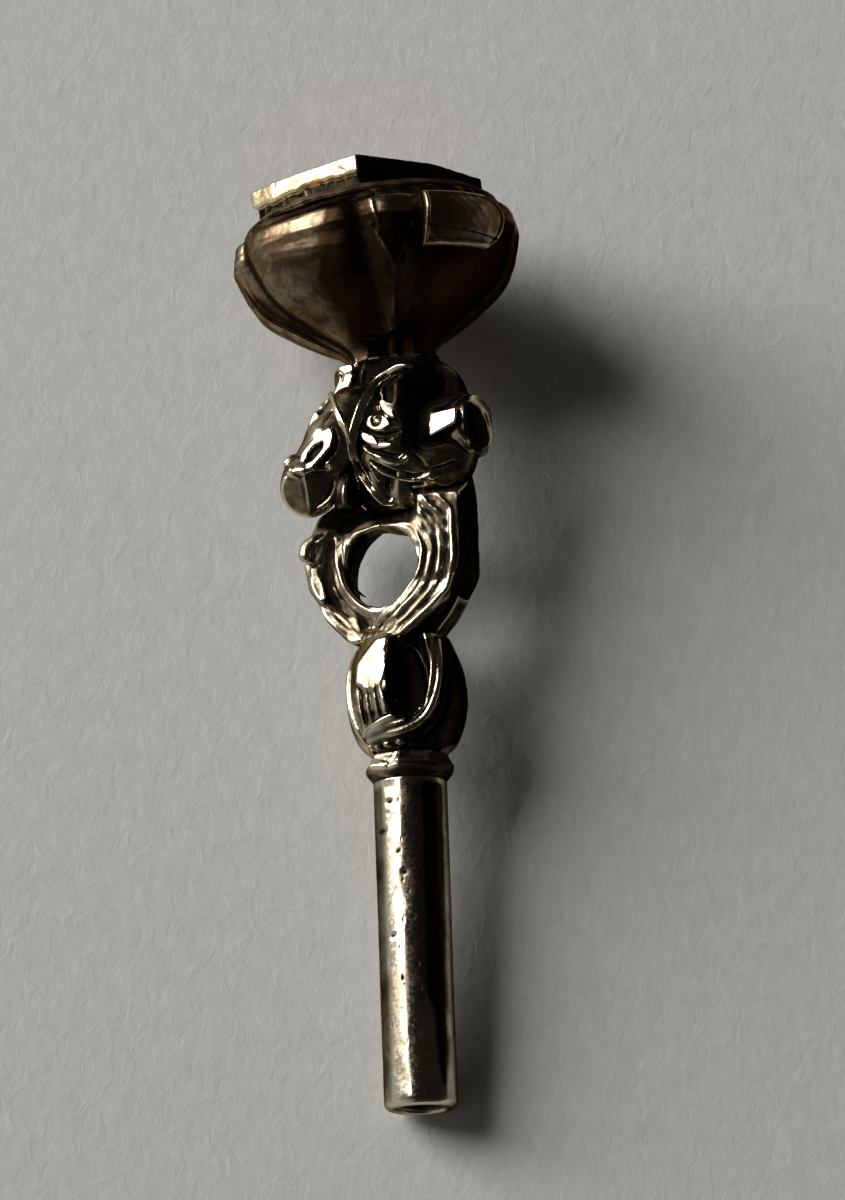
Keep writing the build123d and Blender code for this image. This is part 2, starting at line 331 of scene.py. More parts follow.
def facet(f, picture, v, normal=SHINE, k=0.05, plate=0.0):
    """A flat facet inside a convex picture outline, cut into f through its middle at v, or laid on as a plate."""
    q = np.array([on_plane(x, y, v) for x, y in picture])
    c = q.mean(0)
    plan = [(a[0], a[2]) for a in q]
    n = np.asarray(normal, float)
    n = n / np.linalg.norm(n)
    lo, hi = q.min(0) - 0.6, q.max(0) + 0.6
    lo[1], hi[1] = v - 2.0, v + 2.5

    def over(x, y, z):
        return (x - c[0]) * n[0] + (y - c[1]) * n[1] + (z - c[2]) * n[2]
    if plate > 0:
        f.add(lambda x, y, z: smax(smax(plan_distance(x + 0 * z, z + 0 * x, plan, 0.10) * 0.95, over(x, y, z), k), -plate - over(x, y, z), 0.02), lo, hi, k=k)
    else:
        f.cut(lambda x, y, z: smax(plan_distance(x + 0 * z, z + 0 * x, plan, 0.05), -over(x, y, z), 0.03), lo, hi, k=k)


def drum(c, a, b, p, axis):
    """A rounded drum: round across its axis, flattened in front."""
    w = np.asarray(axis, float)
    w = w / np.linalg.norm(w)

    def f(x, y, z):
        h = (x - c[0]) * w[0] + (y - c[1]) * w[1] + (z - c[2]) * w[2]
        q = np.sqrt(np.maximum((x - c[0]) ** 2 + (y - c[1]) ** 2 + (z - c[2]) ** 2 - h * h, 0))
        return (np.maximum((q / a) ** p + (np.abs(h) / b) ** p, 1e-9) ** (1 / p) - 1) * min(a, b) * 0.85
    return f


def wobble(seed, size, waves=7):
    """Smooth unevenness of about unit height, whose bumps are about size across."""
    rs = np.random.RandomState(seed)
    ks = rs.normal(size=(waves, 3))
    ks = ks / np.linalg.norm(ks, axis=1)[:, None] * (2 * math.pi / size) * rs.uniform(0.6, 1.5, (waves, 1))
    ph = rs.uniform(0, 6.28, waves)

    def f(x, y, z):
        return sum(np.sin(ks[i, 0] * x + ks[i, 1] * y + ks[i, 2] * z + ph[i]) for i in range(waves)) / waves * 1.6
    return f


def blur(a, r):
    """Box blur of radius r cells, three times over."""
    for _ in range(2):
        for ax in range(3):
            c = np.cumsum(np.pad(a, [(r + 1, r) if i == ax else (0, 0) for i in range(3)], mode="edge"), axis=ax, dtype=np.float64)
            n = a.shape[ax]
            hi = [slice(None)] * 3
            lo = [slice(None)] * 3
            hi[ax], lo[ax] = slice(2 * r + 1, 2 * r + 1 + n), slice(0, n)
            a = ((c[tuple(hi)] - c[tuple(lo)]) / (2 * r + 1)).astype(np.float32)
    return a


def lattice_at(d, q):
    n = np.array(d.shape)
    q = np.clip(q, 0, n - 1.001)
    i = q.astype(int)
    f = q - i
    r = 0
    for a in (0, 1):
        for b in (0, 1):
            for c in (0, 1):
                w = (f[:, 0] if a else 1 - f[:, 0]) * (f[:, 1] if b else 1 - f[:, 1]) * (f[:, 2] if c else 1 - f[:, 2])
                r = r + w * d[np.minimum(i[:, 0] + a, n[0] - 1), np.minimum(i[:, 1] + b, n[1] - 1), np.minimum(i[:, 2] + c, n[2] - 1)]
    return r


def new_piece(name, pts_mm, faces, node, material, hollow=None, proud=None, shade_and_tarnish=None):
    """A mesh piece from points in the key's axes (mm) that stands for a CAD node."""
    p = row(pts_mm)
    faces = np.asarray(faces)
    # turn the faces outwards: the enclosed volume is positive
    a, b, c = p[faces[:, 0]], p[faces[:, 1]], p[faces[:, 2]]
    vol = np.einsum("ij,ij->i", a, np.cross(b, c)).sum()
    if faces.shape[1] == 4:
        e = p[faces[:, 3]]
        vol += np.einsum("ij,ij->i", a, np.cross(c, e)).sum()
    if vol < 0:
        faces = faces[:, ::-1]
    me = bpy.data.meshes.new(name)
    n, w = faces.shape
    me.vertices.add(len(p))
    me.vertices.foreach_set("co", p.astype(np.float32).ravel())
    me.loops.add(n * w)
    me.loops.foreach_set("vertex_index", faces.astype(np.int32).ravel())
    me.polygons.add(n)
    me.polygons.foreach_set("loop_start", (np.arange(n) * w).astype(np.int32))
    me.polygons.foreach_set("use_smooth", np.ones(n, bool))
    me.update(calc_edges=True)
    me.validate()
    for label, data in (("hollow", hollow), ("proud", proud), ("shade_and_tarnish", shade_and_tarnish)):
        at = me.attributes.new(label, "FLOAT", "POINT")
        at.data.foreach_set("value", np.zeros(len(p), np.float32) if data is None else np.asarray(data, np.float32))
    me.materials.append(material)
    o = bpy.data.objects.new(name, me)
    scene.collection.objects.link(o)
    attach(o, "root")
    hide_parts(node)
    print(f"piece {name}: {len(p)} points, {n} faces")
    return o


def side_shade_and_tarnish(p, n):
    """Painted shade with some tarnish: dark on steep sides, above all the right-hand ones turned away from the lamp,
    and underneath.
    """
    side = np.clip((n[:, 0] - 0.30) / 0.45, 0, 1) * 0.85 + np.clip((-n[:, 0] - 0.72) / 0.25, 0, 1) * 0.45
    return np.clip(side + np.clip((-n[:, 1] - 0.2) / 0.8, 0, 1) * 0.25 + np.clip((-n[:, 2] - 0.55) / 0.4, 0, 1) * 0.4, 0, 1)


TO_EYE = key_dir(AWAY)


def seen_at(p):
    """Where points in the key's axes fall in the picture."""
    q = row(p) * 1000.0 - EYE
    t = q @ LOOK
    return WIDE / 2 + FOCAL * (q @ RIGHT) / t, HIGH / 2 - FOCAL * (q @ UP) / t


def outline(px, py, pts):
    """Distance outside a picture outline, in its points; negative inside."""
    best, inside = np.full(px.shape, 1e9), np.zeros(px.shape, bool)
    for (x0, y0), (x1, y1) in zip(pts, pts[1:] + pts[:1]):
        t = np.clip(((px - x0) * (x1 - x0) + (py - y0) * (y1 - y0)) / ((x1 - x0) ** 2 + (y1 - y0) ** 2), 0, 1)
        best = np.minimum(best, np.hypot(px - x0 - t * (x1 - x0), py - y0 - t * (y1 - y0)))
        if y0 != y1:
            inside ^= ((y0 > py) != (y1 > py)) & (px < (x1 - x0) * (py - y0) / (y1 - y0) + x0)
    return np.where(inside, -best, best)


def zones_at(p, zones):
    px, py = seen_at(p)
    return sum(amount * np.clip(0.5 - outline(px, py, pts) / soft, 0, 1) for amount, soft, pts in zones)


def shaded_and_stained(zones, base=side_shade_and_tarnish):
    """Painted shade and tarnish by shape, with zones of more or less of it on the front, outlined in the camera's view:
    (amount, soft edge, outline).
    """
    def f(p, n):
        return np.clip(base(p, n) + zones_at(p, zones) * np.clip((n @ TO_EYE + 0.05) / 0.25, 0, 1), 0, 1.8)
    return f


def without_crumbs(pts, quad):
    """Drops loose specks that a cut has left beside the body."""
    lab = np.arange(len(pts))
    while True:
        low = lab[quad].min(1)
        new = lab.copy()
        for i in range(4):
            np.minimum.at(new, quad[:, i], low)
        new = new[new]
        if (new == lab).all():
            break
        lab = new
    _, inv, n = np.unique(lab, return_inverse=True, return_counts=True)
    keep = n[inv] > 0.02 * len(pts)
    number = np.cumsum(keep) - 1
    return pts[keep], number[quad[keep[quad[:, 0]]]]


def carve(name, f, node, material, deep=0.040, high=0.060, soften=True, darkening=side_shade_and_tarnish):
    """Meshes a field and stores how hollow or proud each point is."""
    d = f.d
    if soften:
        for ax in range(3):
            e = np.pad(d, [(1, 1) if i == ax else (0, 0) for i in range(3)], mode="edge")
            s0 = [slice(None)] * 3
            s1 = [slice(None)] * 3
            s2 = [slice(None)] * 3
            s0[ax], s1[ax], s2[ax] = slice(0, -2), slice(1, -1), slice(2, None)
            d = 0.22 * e[tuple(s0)] + 0.56 * e[tuple(s1)] + 0.22 * e[tuple(s2)]
    cap = 6 * f.h
    g = openvdb.FloatGrid(background=cap)
    g.copyFromArray(np.clip(d, -cap, cap).astype(np.float32))
    pts, tri, quad = g.convertToPolygons(isovalue=0.0, adaptivity=0.0)
    pts, quad = without_crumbs(pts, np.asarray(quad))
    c = np.clip(d, -0.8, 0.8)
    near = blur(c, max(int(round(0.09 / f.h)), 1))
    wide = blur(c, max(int(round(0.25 / f.h)), 2))
    bend = lattice_at(near - c, pts) + 0.6 * lattice_at(wide - c, pts)
    hollow = np.clip(-bend / deep, 0, 1)
    proud = np.clip((bend - 0.040) / high, 0, 1)
    p = pts.astype(float) * f.h + f.lo
    nn = np.stack([lattice_at(near, pts + e) - lattice_at(near, pts - e) for e in np.eye(3)], -1)
    nn /= np.linalg.norm(nn, axis=1)[:, None] + 1e-9
    # the third attribute holds painted shade together with tarnish
    o = new_piece(name, p, quad, node, material, hollow, proud, darkening(p, nn))
    return o


def keep_big(f):
    """Does not fill away crumbs; it only makes the grid's own edges empty."""
    d = f.d
    for ax in range(3):
        s = [slice(None)] * 3
        for e in (0, -1):
            s[ax] = e
            d[tuple(s)] = np.maximum(d[tuple(s)], f.h)
    return f


# ---------------------------------------------------------------------------
# Materials: worn silver-gilt, and the few other stuffs.
# ---------------------------------------------------------------------------
class Tree:
    """A short hand for building a material's nodes."""

    def __init__(self, name):
        self.mat = bpy.data.materials.new(name)
        self.mat.use_nodes = True
        self.nt = self.mat.node_tree
        self.nt.nodes.clear()
        self.out = self.nt.nodes.new("ShaderNodeOutputMaterial")
        self.bsdf = self.nt.nodes.new("ShaderNodeBsdfPrincipled")
        self.nt.links.new(self.bsdf.outputs[0], self.out.inputs[0])
        self.co = self.nt.nodes.new("ShaderNodeTexCoord").outputs["Object"]

    def link(self, a, b):
        self.nt.links.new(a, b)

    def put(self, sock, v):
        if hasattr(v, "is_linked"):
            self.link(v, sock)
        else:
            sock.default_value = v

    def noise(self, scale, detail=3.0, rough=0.55, distort=0.0, co=None):
        n = self.nt.nodes.new("ShaderNodeTexNoise")
        n.inputs["Scale"].default_value = scale
        n.inputs["Detail"].default_value = detail
        n.inputs["Roughness"].default_value = rough
        n.inputs["Distortion"].default_value = distort
        self.link(co or self.co, n.inputs["Vector"])
        return n.outputs[0]

    def stretched(self, s, rot=(0, 0, 0)):
        n = self.nt.nodes.new("ShaderNodeMapping")
        n.inputs["Scale"].default_value = s
        n.inputs["Rotation"].default_value = rot
        self.link(self.co, n.inputs["Vector"])
        return n.outputs[0]

    def cells(self, scale, feature="F1", co=None):
        n = self.nt.nodes.new("ShaderNodeTexVoronoi")
        n.feature = feature
        n.inputs["Scale"].default_value = scale
        self.link(co or self.co, n.inputs["Vector"])
        return n.outputs["Distance"]

    def attr(self, name):
        n = self.nt.nodes.new("ShaderNodeAttribute")
        n.attribute_name = name
        return n.outputs["Fac"]

    def span(self, x, a, b, lo=0.0, hi=1.0):
        n = self.nt.nodes.new("ShaderNodeMapRange")
        n.interpolation_type = "SMOOTHSTEP"
        self.put(n.inputs["Value"], x)
        n.inputs["From Min"].default_value = a
        n.inputs["From Max"].default_value = b
        n.inputs["To Min"].default_value = lo
        n.inputs["To Max"].default_value = hi
        return n.outputs[0]

    def math(self, op, a, b=0.0, clamp=False):
        n = self.nt.nodes.new("ShaderNodeMath")
        n.operation = op
        n.use_clamp = clamp
        self.put(n.inputs[0], a)
        self.put(n.inputs[1], b)
        return n.outputs[0]

    def mix(self, fac, a, b):
        n = self.nt.nodes.new("ShaderNodeMix")
        n.data_type = "RGBA"
        self.put(n.inputs[0], fac)
        for sock, v in ((n.inputs[6], a), (n.inputs[7], b)):
            self.put(sock, v if hasattr(v, "is_linked") else (*v, 1.0))
        return n.outputs[2]

    def bump(self, height, strength, dist, normal=None):
        n = self.nt.nodes.new("ShaderNodeBump")
        n.inputs["Strength"].default_value = strength
        n.inputs["Distance"].default_value = dist
        self.link(height, n.inputs["Height"])
        if normal:
            self.link(normal, n.inputs["Normal"])
        return n.outputs[0]


def gilt(name, bright=(0.56, 0.48, 0.35), warm=(0.40, 0.31, 0.19), dull=(0.15, 0.112, 0.070), grime=(0.014, 0.010, 0.006),
         darkening=0.5, rough=0.24, dents=1.0, pits=0.5, scratch=1.0, orange=0.0, polish=(0.86, 0.77, 0.58), shade_and_tarnish_colour=(0.040, 0.029, 0.019)):
    t = Tree(name)
    hollow, proud, shade_and_tarnish = t.attr("hollow"), t.attr("proud"), t.attr("shade_and_tarnish")
    patch = t.noise(420, 4, 0.6, 0.6)
    blotch = t.noise(1500, 5, 0.65)
    speck = t.noise(7000, 3, 0.6)
    # warm and pale gilding, in clouds
    col = t.mix(t.span(patch, 0.38, 0.62), bright, warm)
    # dull brown tarnish, less on the high places
    dull_f = t.math("SUBTRACT", t.span(blotch, 0.50 - 0.22 * darkening, 0.80 - 0.18 * darkening), t.math("MULTIPLY", proud, 0.9), True)
    dull_f = t.math("MULTIPLY", dull_f, 0.85)
    col = t.mix(dull_f, col, dull)
    if orange > 0:
        o = t.span(t.noise(900, 3, 0.5, 1.5), 0.52, 0.66)
        col = t.mix(t.math("MULTIPLY", o, orange), col, (0.80, 0.42, 0.16))
    # edges rubbed bright by hands
    rub = t.span(t.math("ADD", proud, t.math("MULTIPLY", t.math("SUBTRACT", blotch, 0.5), 0.5)), 0.12, 0.75)
    col = t.mix(t.math("MULTIPLY", rub, 0.85), col, polish)
    # painted shade, and dark old tarnish on the sides that hands miss: darker on sides turned away from the lamp,
    # underneath and in zones outlined in the camera's view, cloudy at its border
    s_f = t.math("ADD", shade_and_tarnish, t.math("MULTIPLY", t.math("SUBTRACT", patch, 0.5), 0.7))
    s_f = t.span(t.math("SUBTRACT", s_f, t.math("MULTIPLY", proud, 0.35)), 0.10, 0.95)
    col = t.mix(t.math("MULTIPLY", s_f, 0.985), col, shade_and_tarnish_colour)
    # grime in the hollows, broken up at its edges
    g = t.math("ADD", hollow, t.math("MULTIPLY", t.math("SUBTRACT", blotch, 0.5), 0.9))
    g = t.span(g, 0.18, 0.62)
    pit = t.span(t.cells(2600), 0.10 * pits, 0.02 * pits) if pits > 0 else None
    col = t.mix(g, col, grime)
    if pit is not None:
        col = t.mix(t.math("MULTIPLY", pit, 0.7), col, grime)
    t.link(col, t.bsdf.inputs["Base Color"])
    t.link(t.math("SUBTRACT", 1.0, t.math("MULTIPLY", g, 0.40)), t.bsdf.inputs["Metallic"])
    t.bsdf.inputs["Specular Tint"].default_value = (0.30, 0.26, 0.20, 1.0)
    r = t.math("ADD", t.span(patch, 0.3, 0.7, rough * 0.75, rough * 1.25), t.math("MULTIPLY", dull_f, 0.16))
    r = t.math("ADD", r, t.math("MULTIPLY", s_f, 0.12))
    r = t.math("ADD", r, t.math("MULTIPLY", g, 0.30))
    r = t.math("ADD", r, t.span(speck, 0.35, 0.75, -0.04, 0.08), True)
    t.link(r, t.bsdf.inputs["Roughness"])
    # fine dents, casting skin and scratches
    n = t.bump(t.noise(1100, 3, 0.5), 0.50 * dents, 0.00004)
    n = t.bump(t.noise(4200, 3, 0.6), 0.35 * dents, 0.000012, n)
    lines = t.noise(1.0, 2, 0.5, 0.0, t.stretched((9000, 700, 2500), (0.0, 0.0, 0.35)))
    n = t.bump(lines, 0.28 * scratch, 0.000010, n)
    if pit is not None:
        n = t.bump(t.math("SUBTRACT", 1.0, pit), 0.6, 0.00004, n)
    t.link(n, t.bsdf.inputs["Normal"])
    return t.mat

GILT = gilt("worn_silver_gilt")
GILT_CUP = gilt("silver_gilt_cup", bright=(0.40, 0.325, 0.225), warm=(0.25, 0.165, 0.093), dull=(0.10, 0.060, 0.033), darkening=0.65, rough=0.22, pits=0.4, polish=(0.58, 0.48, 0.33), shade_and_tarnish_colour=(0.026, 0.0135, 0.007))
GILT_FIGURE = gilt("silver_gilt_figure", bright=(0.56, 0.49, 0.36), warm=(0.40, 0.315, 0.20), dull=(0.13, 0.098, 0.060), darkening=0.55, rough=0.165, pits=0.3, shade_and_tarnish_colour=(0.013, 0.009, 0.0055))
GILT_STRAND = gilt("silver_gilt_strand", bright=(0.44, 0.38, 0.28), warm=(0.32, 0.25, 0.165), dull=(0.12, 0.088, 0.055), darkening=0.55, rough=0.25, pits=0.3, dents=1.6, polish=(0.66, 0.58, 0.42), shade_and_tarnish_colour=(0.013, 0.009, 0.0055))
GILT_RIM = gilt("bright_gilt_rim", bright=(0.84, 0.73, 0.50), warm=(0.74, 0.57, 0.31), dull=(0.36, 0.26, 0.14), darkening=0.30, rough=0.22, pits=0.2, orange=0.55, shade_and_tarnish_colour=(0.006, 0.005, 0.004))
GILT_PIPE = gilt("silver_gilt_pipe", bright=(0.66, 0.60, 0.48), warm=(0.52, 0.44, 0.32), dull=(0.24, 0.185, 0.12), darkening=0.24, rough=0.16, pits=0.5, scratch=0.7, dents=0.22, shade_and_tarnish_colour=(0.022, 0.015, 0.009))
GILT_SHELF = gilt("dull_gilt_seat", bright=(0.40, 0.31, 0.20), warm=(0.28, 0.20, 0.12), dull=(0.12, 0.085, 0.052), darkening=0.7, rough=0.36)

# ---------------------------------------------------------------------------
# Seal head: lobed cup, cartouche, seat, rim and stone.
# ---------------------------------------------------------------------------
CUP_LOW = [(1.98, -0.62), (2.05, -0.20), (2.45, 0.22), (3.15, 0.62), (3.75, 1.00), (4.40, 1.45), (5.05, 1.95),
           (5.60, 2.50), (6.02, 3.30), (6.26, 4.00), (6.42, 4.50)]
CUP_HIGH = [(6.42, 4.56), (6.37, 4.92), (6.25, 5.24), (5.98, 5.42), (5.84, 5.60), (5.74, 5.80)]
_c = np.vstack([smooth_line([(r, z, 0.0) for r, z in part], 0.05) for part in (CUP_LOW, CUP_HIGH)])


def cup_r(z):
    return np.interp(z, _c[:, 1], _c[:, 0])


VALLEYS = [-6.5, 18.0, 83.5, 108.0, 168.0, 192.0, 275.0, 290.5]
D2R = math.pi / 180


def turn_from(az, centre):
    return (az - centre * D2R + math.pi) % (2 * math.pi) - math.pi


def bar(x, y, a, b, w):
    """How near (x, y) is to the line from a to b, 1 on it and 0 at w away."""
    ax, ay, bx, by = a[0], a[1], b[0], b[1]
    t = np.clip(((x - ax) * (bx - ax) + (y - ay) * (by - ay)) / ((bx - ax) ** 2 + (by - ay) ** 2), 0, 1)
    d = np.hypot(x - ax - t * (bx - ax), y - ay - t * (by - ay))
    return np.exp(-(d / w) ** 2)


def cup_skin(az, z):
    """Radius of the lobed cup, and how deep the point lies in a valley (0 to 1)."""
    env = cup_r(z)
    # flats on the left lobes, and in front where the cup runs into the neck
    env0 = env
    for g in (-33.0, -147.0):
        env = env - 0.36 * np.exp(-(turn_from(az, g) / (21 * D2R)) ** 2) * np.interp(z, [2.2, 4.2], [0.0, 1.0])
    env = np.minimum(env, np.where(np.cos(az - 0.08) > 0.3, np.interp(z, [-0.62, 0.2, 1.0], [1.52, 1.80, 9.0]) / np.maximum(np.cos(az - 0.08), 0.3), 99.0))
    depth = np.interp(z, [-0.62, -0.2, 0.6, 1.6, 3.2, 4.4, 5.2, 5.8], [0.20, 0.22, 0.34, 0.42, 0.40, 0.30, 0.22, 0.10])
    valley, dirt = 0, 0
    for g in VALLEYS:
        d = turn_from(az, g)
        soft = 1.35 if g in (-6.5, 18.0) else 0.80
        half = np.interp(z, [-0.6, 0.6, 2.5, 5.8], [0.170, 0.125, 0.092, 0.072]) * soft
        a = np.abs(d) / half
        one = np.exp(-a ** (2.0 if soft > 1 else 1.5))
        valley = np.maximum(valley, one)
        dirt = np.maximum(dirt, one * (0.62 if soft > 1 else 1.0))
    # the eight forms between the valleys are rounded across
    v = np.sort(np.array(VALLEYS) % 360) * D2R
    a2 = az % (2 * math.pi)
    k = np.searchsorted(v, a2, side="right")
    lo = np.where(k == 0, v[-1] - 2 * math.pi, v[k - 1])
    hi = np.where(k == len(v), v[0] + 2 * math.pi, v[k % len(v)])
    f = np.clip((a2 - lo) / (hi - lo), 0, 1)
    round_off = (2 * f - 1) ** 2 * np.interp(z, [-0.6, 1.0, 4.0, 5.8], [0.02, 0.09, 0.10, 0.03])
    r = env - depth * valley - round_off
    # light chased lines on the narrow rib in front and down the edges of the forms
    deg = turn_from(az, 0) / D2R
    zz = z * 5.5
    mark = np.maximum(bar(deg, zz, (-3.0, 4.05 * 5.5), (4.5, 2.5 * 5.5), 0.95), bar(deg, zz, (14.5, 3.9 * 5.5), (5.5, 2.5 * 5.5), 0.95))
    mark = np.maximum(mark, 0.7 * bar(deg, zz, (4.8, 2.5 * 5.5), (4.0, 0.9 * 5.5), 1.1))
    mark = np.maximum(mark, 0.6 * bar(deg, zz, (-1.5, 5.2 * 5.5), (-0.5, 4.3 * 5.5), 1.0))
    r = r + 0.085 * mark
    for g in VALLEYS:
        for side in (-1, 1):
            d = turn_from(az, g) - side * np.interp(z, [-0.6, 0.6, 2.5, 5.8], [0.26, 0.20, 0.135, 0.11])
            r = r + 0.035 * np.exp(-(d / 0.022) ** 2) * np.interp(z, [-0.4, 0.8, 3.8, 4.8], [1.0, 1.0, 0.5, 0.0])
    # casting and wear
    for i, (n1, n2, amp, ph) in enumerate([(3, 1.3, 0.020, 0.4), (7, 2.1, 0.014, 2.0), (13, 3.4, 0.009, 4.1), (29, 6.0, 0.005, 1.2), (41, 9.0, 0.004, 5.0)]):
        r = r + amp * np.sin(n1 * az + n2 * z + ph) * np.sin(n2 * 1.7 * z - n1 * 0.5 * az + ph * 2)
    return np.minimum(r, env0 + 0.02), np.clip(dirt * 1.15 - 0.12, 0, 1)


def floor_limit(p_mm, up=0.004):
    """Presses points (key axes) back up onto the white surface the key lies on."""
    q = row(p_mm) * 1000.0
    q[..., 2] = np.maximum(q[..., 2], up)
    return key_axes(q)


def make_cup():
    n = 520
    zo = np.concatenate([np.linspace(-0.62, 5.80, 124)])
    az = np.arange(n)[:, None] * 2 * math.pi / n
    r, valley = cup_skin(az, zo[None, :] + 0 * az)
    inner = np.array([(5.20, 5.80), (5.05, 5.76), (5.55, 4.9), (5.55, 4.3), (5.35, 3.5), (4.8, 2.5), (4.2, 1.95), (3.4, 1.35), (2.6, 1.10),
                      (1.5, 1.10), (0.75, 1.10), (0.75, 0.3), (0.75, -0.62), (1.3, -0.62)])
    rr = np.concatenate([r, np.broadcast_to(inner[:, 0], (n, len(inner)))], 1)
    zz = np.concatenate([np.broadcast_to(zo, (n, len(zo))), np.broadcast_to(inner[:, 1], (n, len(inner)))], 1)
    vv = np.concatenate([valley, np.zeros((n, len(inner)))], 1)
    p, faces, bend = ring_mesh(rr, zz, from_head)
    p = floor_limit(p)
    hollow = np.clip(0.85 * vv ** 2.0 + np.clip(-bend / 0.015, 0, 1) * 0.35, 0, 1)
    proud = np.clip(bend / 0.016 - 0.2, 0, 1) * np.interp(zz, [0.5, 4.5], [0.45, 1.0])
    deg = turn_from(az, 0) / D2R + 0 * zz
    # painted shade: darker towards the right-hand side, away from the lamp, with a darker strip left of the rib that
    # cuts the highlight short, less above the shoulder and on the upper left where the highlight falls, and darker
    # streaks just under the seat
    shade_and_tarnish = (0.50 + 0.42 * np.cos((deg - 62) * D2R)) * np.interp(zz, [0.0, 2.0, 4.3, 4.8], [0.85, 1.0, 1.0, 0.50])
    shade_and_tarnish = shade_and_tarnish + 0.35 * np.exp(-((deg + 18) / 11) ** 2) * np.interp(zz, [3.5, 4.6], [0.6, 1.0])
    shade_and_tarnish = shade_and_tarnish + np.interp(zz, [5.18, 5.40], [0.0, 0.55]) * (0.75 + 0.25 * np.sin(az * 31 + 4 * zz + 3 * np.sin(az * 7)))
    shade_and_tarnish = np.clip(shade_and_tarnish - 0.35 * np.exp(-((deg + 52) / 26) ** 2) * np.interp(zz, [3.9, 4.6], [0.3, 1.0]), 0, 1)
    # zones outlined in the camera's view: painted shade on the front where it lies dark, and one lighter zone of
    # painted highlight on the left lobe
    zones = [(0.75, 14, [(424, 246), (450, 250), (525, 236), (528, 290), (480, 335), (440, 352), (418, 352), (420, 300)]),
             (0.45, 10, [(400, 232), (421, 226), (424, 350), (396, 350)]),
             (0.30, 18, [(325, 240), (372, 215), (380, 352), (352, 352), (338, 300)]),
             (0.40, 10, [(352, 190), (371, 190), (374, 260), (374, 352), (350, 352), (352, 260)]),
             (0.22, 12, [(374, 212), (414, 212), (404, 352), (376, 352)]),
             (-0.30, 14, [(236, 232), (262, 236), (270, 280), (250, 285), (238, 270)]),
             (0.36, 22, [(258, 254), (300, 246), (345, 236), (350, 345), (312, 332), (270, 300)]),
             (0.85, 8, [(330, 192), (350, 192), (350, 222), (326, 222)]),
             (0.75, 8, [(232, 283), (244, 288), (272, 308), (312, 334), (350, 358), (346, 372), (286, 350), (250, 322)])]
    shade_and_tarnish = np.clip(shade_and_tarnish + zones_at(p.reshape(-1, 3), zones).reshape(shade_and_tarnish.shape) * (p[..., 1] > 0), 0, 1.2)
    proud = proud * np.interp(zz, [4.9, 5.3], [1.0, 0.15])
    # grime gathers towards the neck on every side
    hollow = np.clip(hollow + 0.15 * np.exp(-((zz - 0.1) / 0.5) ** 2) * vv, 0, 1)
    new_piece("vis_lobed_cup", p.reshape(-1, 3), faces, "lobed_cup", GILT_CUP, hollow.ravel(), proud.ravel(), shade_and_tarnish.ravel())


def ring_mesh(r, z, place=None, loop=True):
    """Points, faces and bend of rings: r, z are (n_az, n_section)."""
    n, k = r.shape
    az = np.arange(n)[:, None] * 2 * math.pi / n
    p = np.stack([r * np.sin(az), r * np.cos(az), z + 0 * r], -1)
    i = np.arange(n)[:, None]
    j = np.arange(k if loop else k - 1)[None, :]
    i2, j2 = (i + 1) % n, (j + 1) % k
    faces = np.stack(np.broadcast_arrays(i * k + j, i2 * k + j, i2 * k + j2, i * k + j2), -1).reshape(-1, 4)
    q = p
    for _ in range(4):
        q = (q + np.roll(q, 1, 0) + np.roll(q, -1, 0) + np.roll(q, 1, 1) + np.roll(q, -1, 1)) / 5
    nu = np.cross(np.roll(p, -1, 0) - np.roll(p, 1, 0), np.roll(p, -1, 1) - np.roll(p, 1, 1))
    nu /= np.linalg.norm(nu, axis=-1, keepdims=True) + 1e-12
    radial = np.stack([np.sin(az) + 0 * r, np.cos(az) + 0 * r, 0 * r], -1)
    sign = np.sign((nu * radial).sum(-1)[:, : max(k // 2, 1)].sum())
    bend = ((p - q) * nu).sum(-1) * sign
    if place is not None:
        p = place(p)
    return p, faces, bend


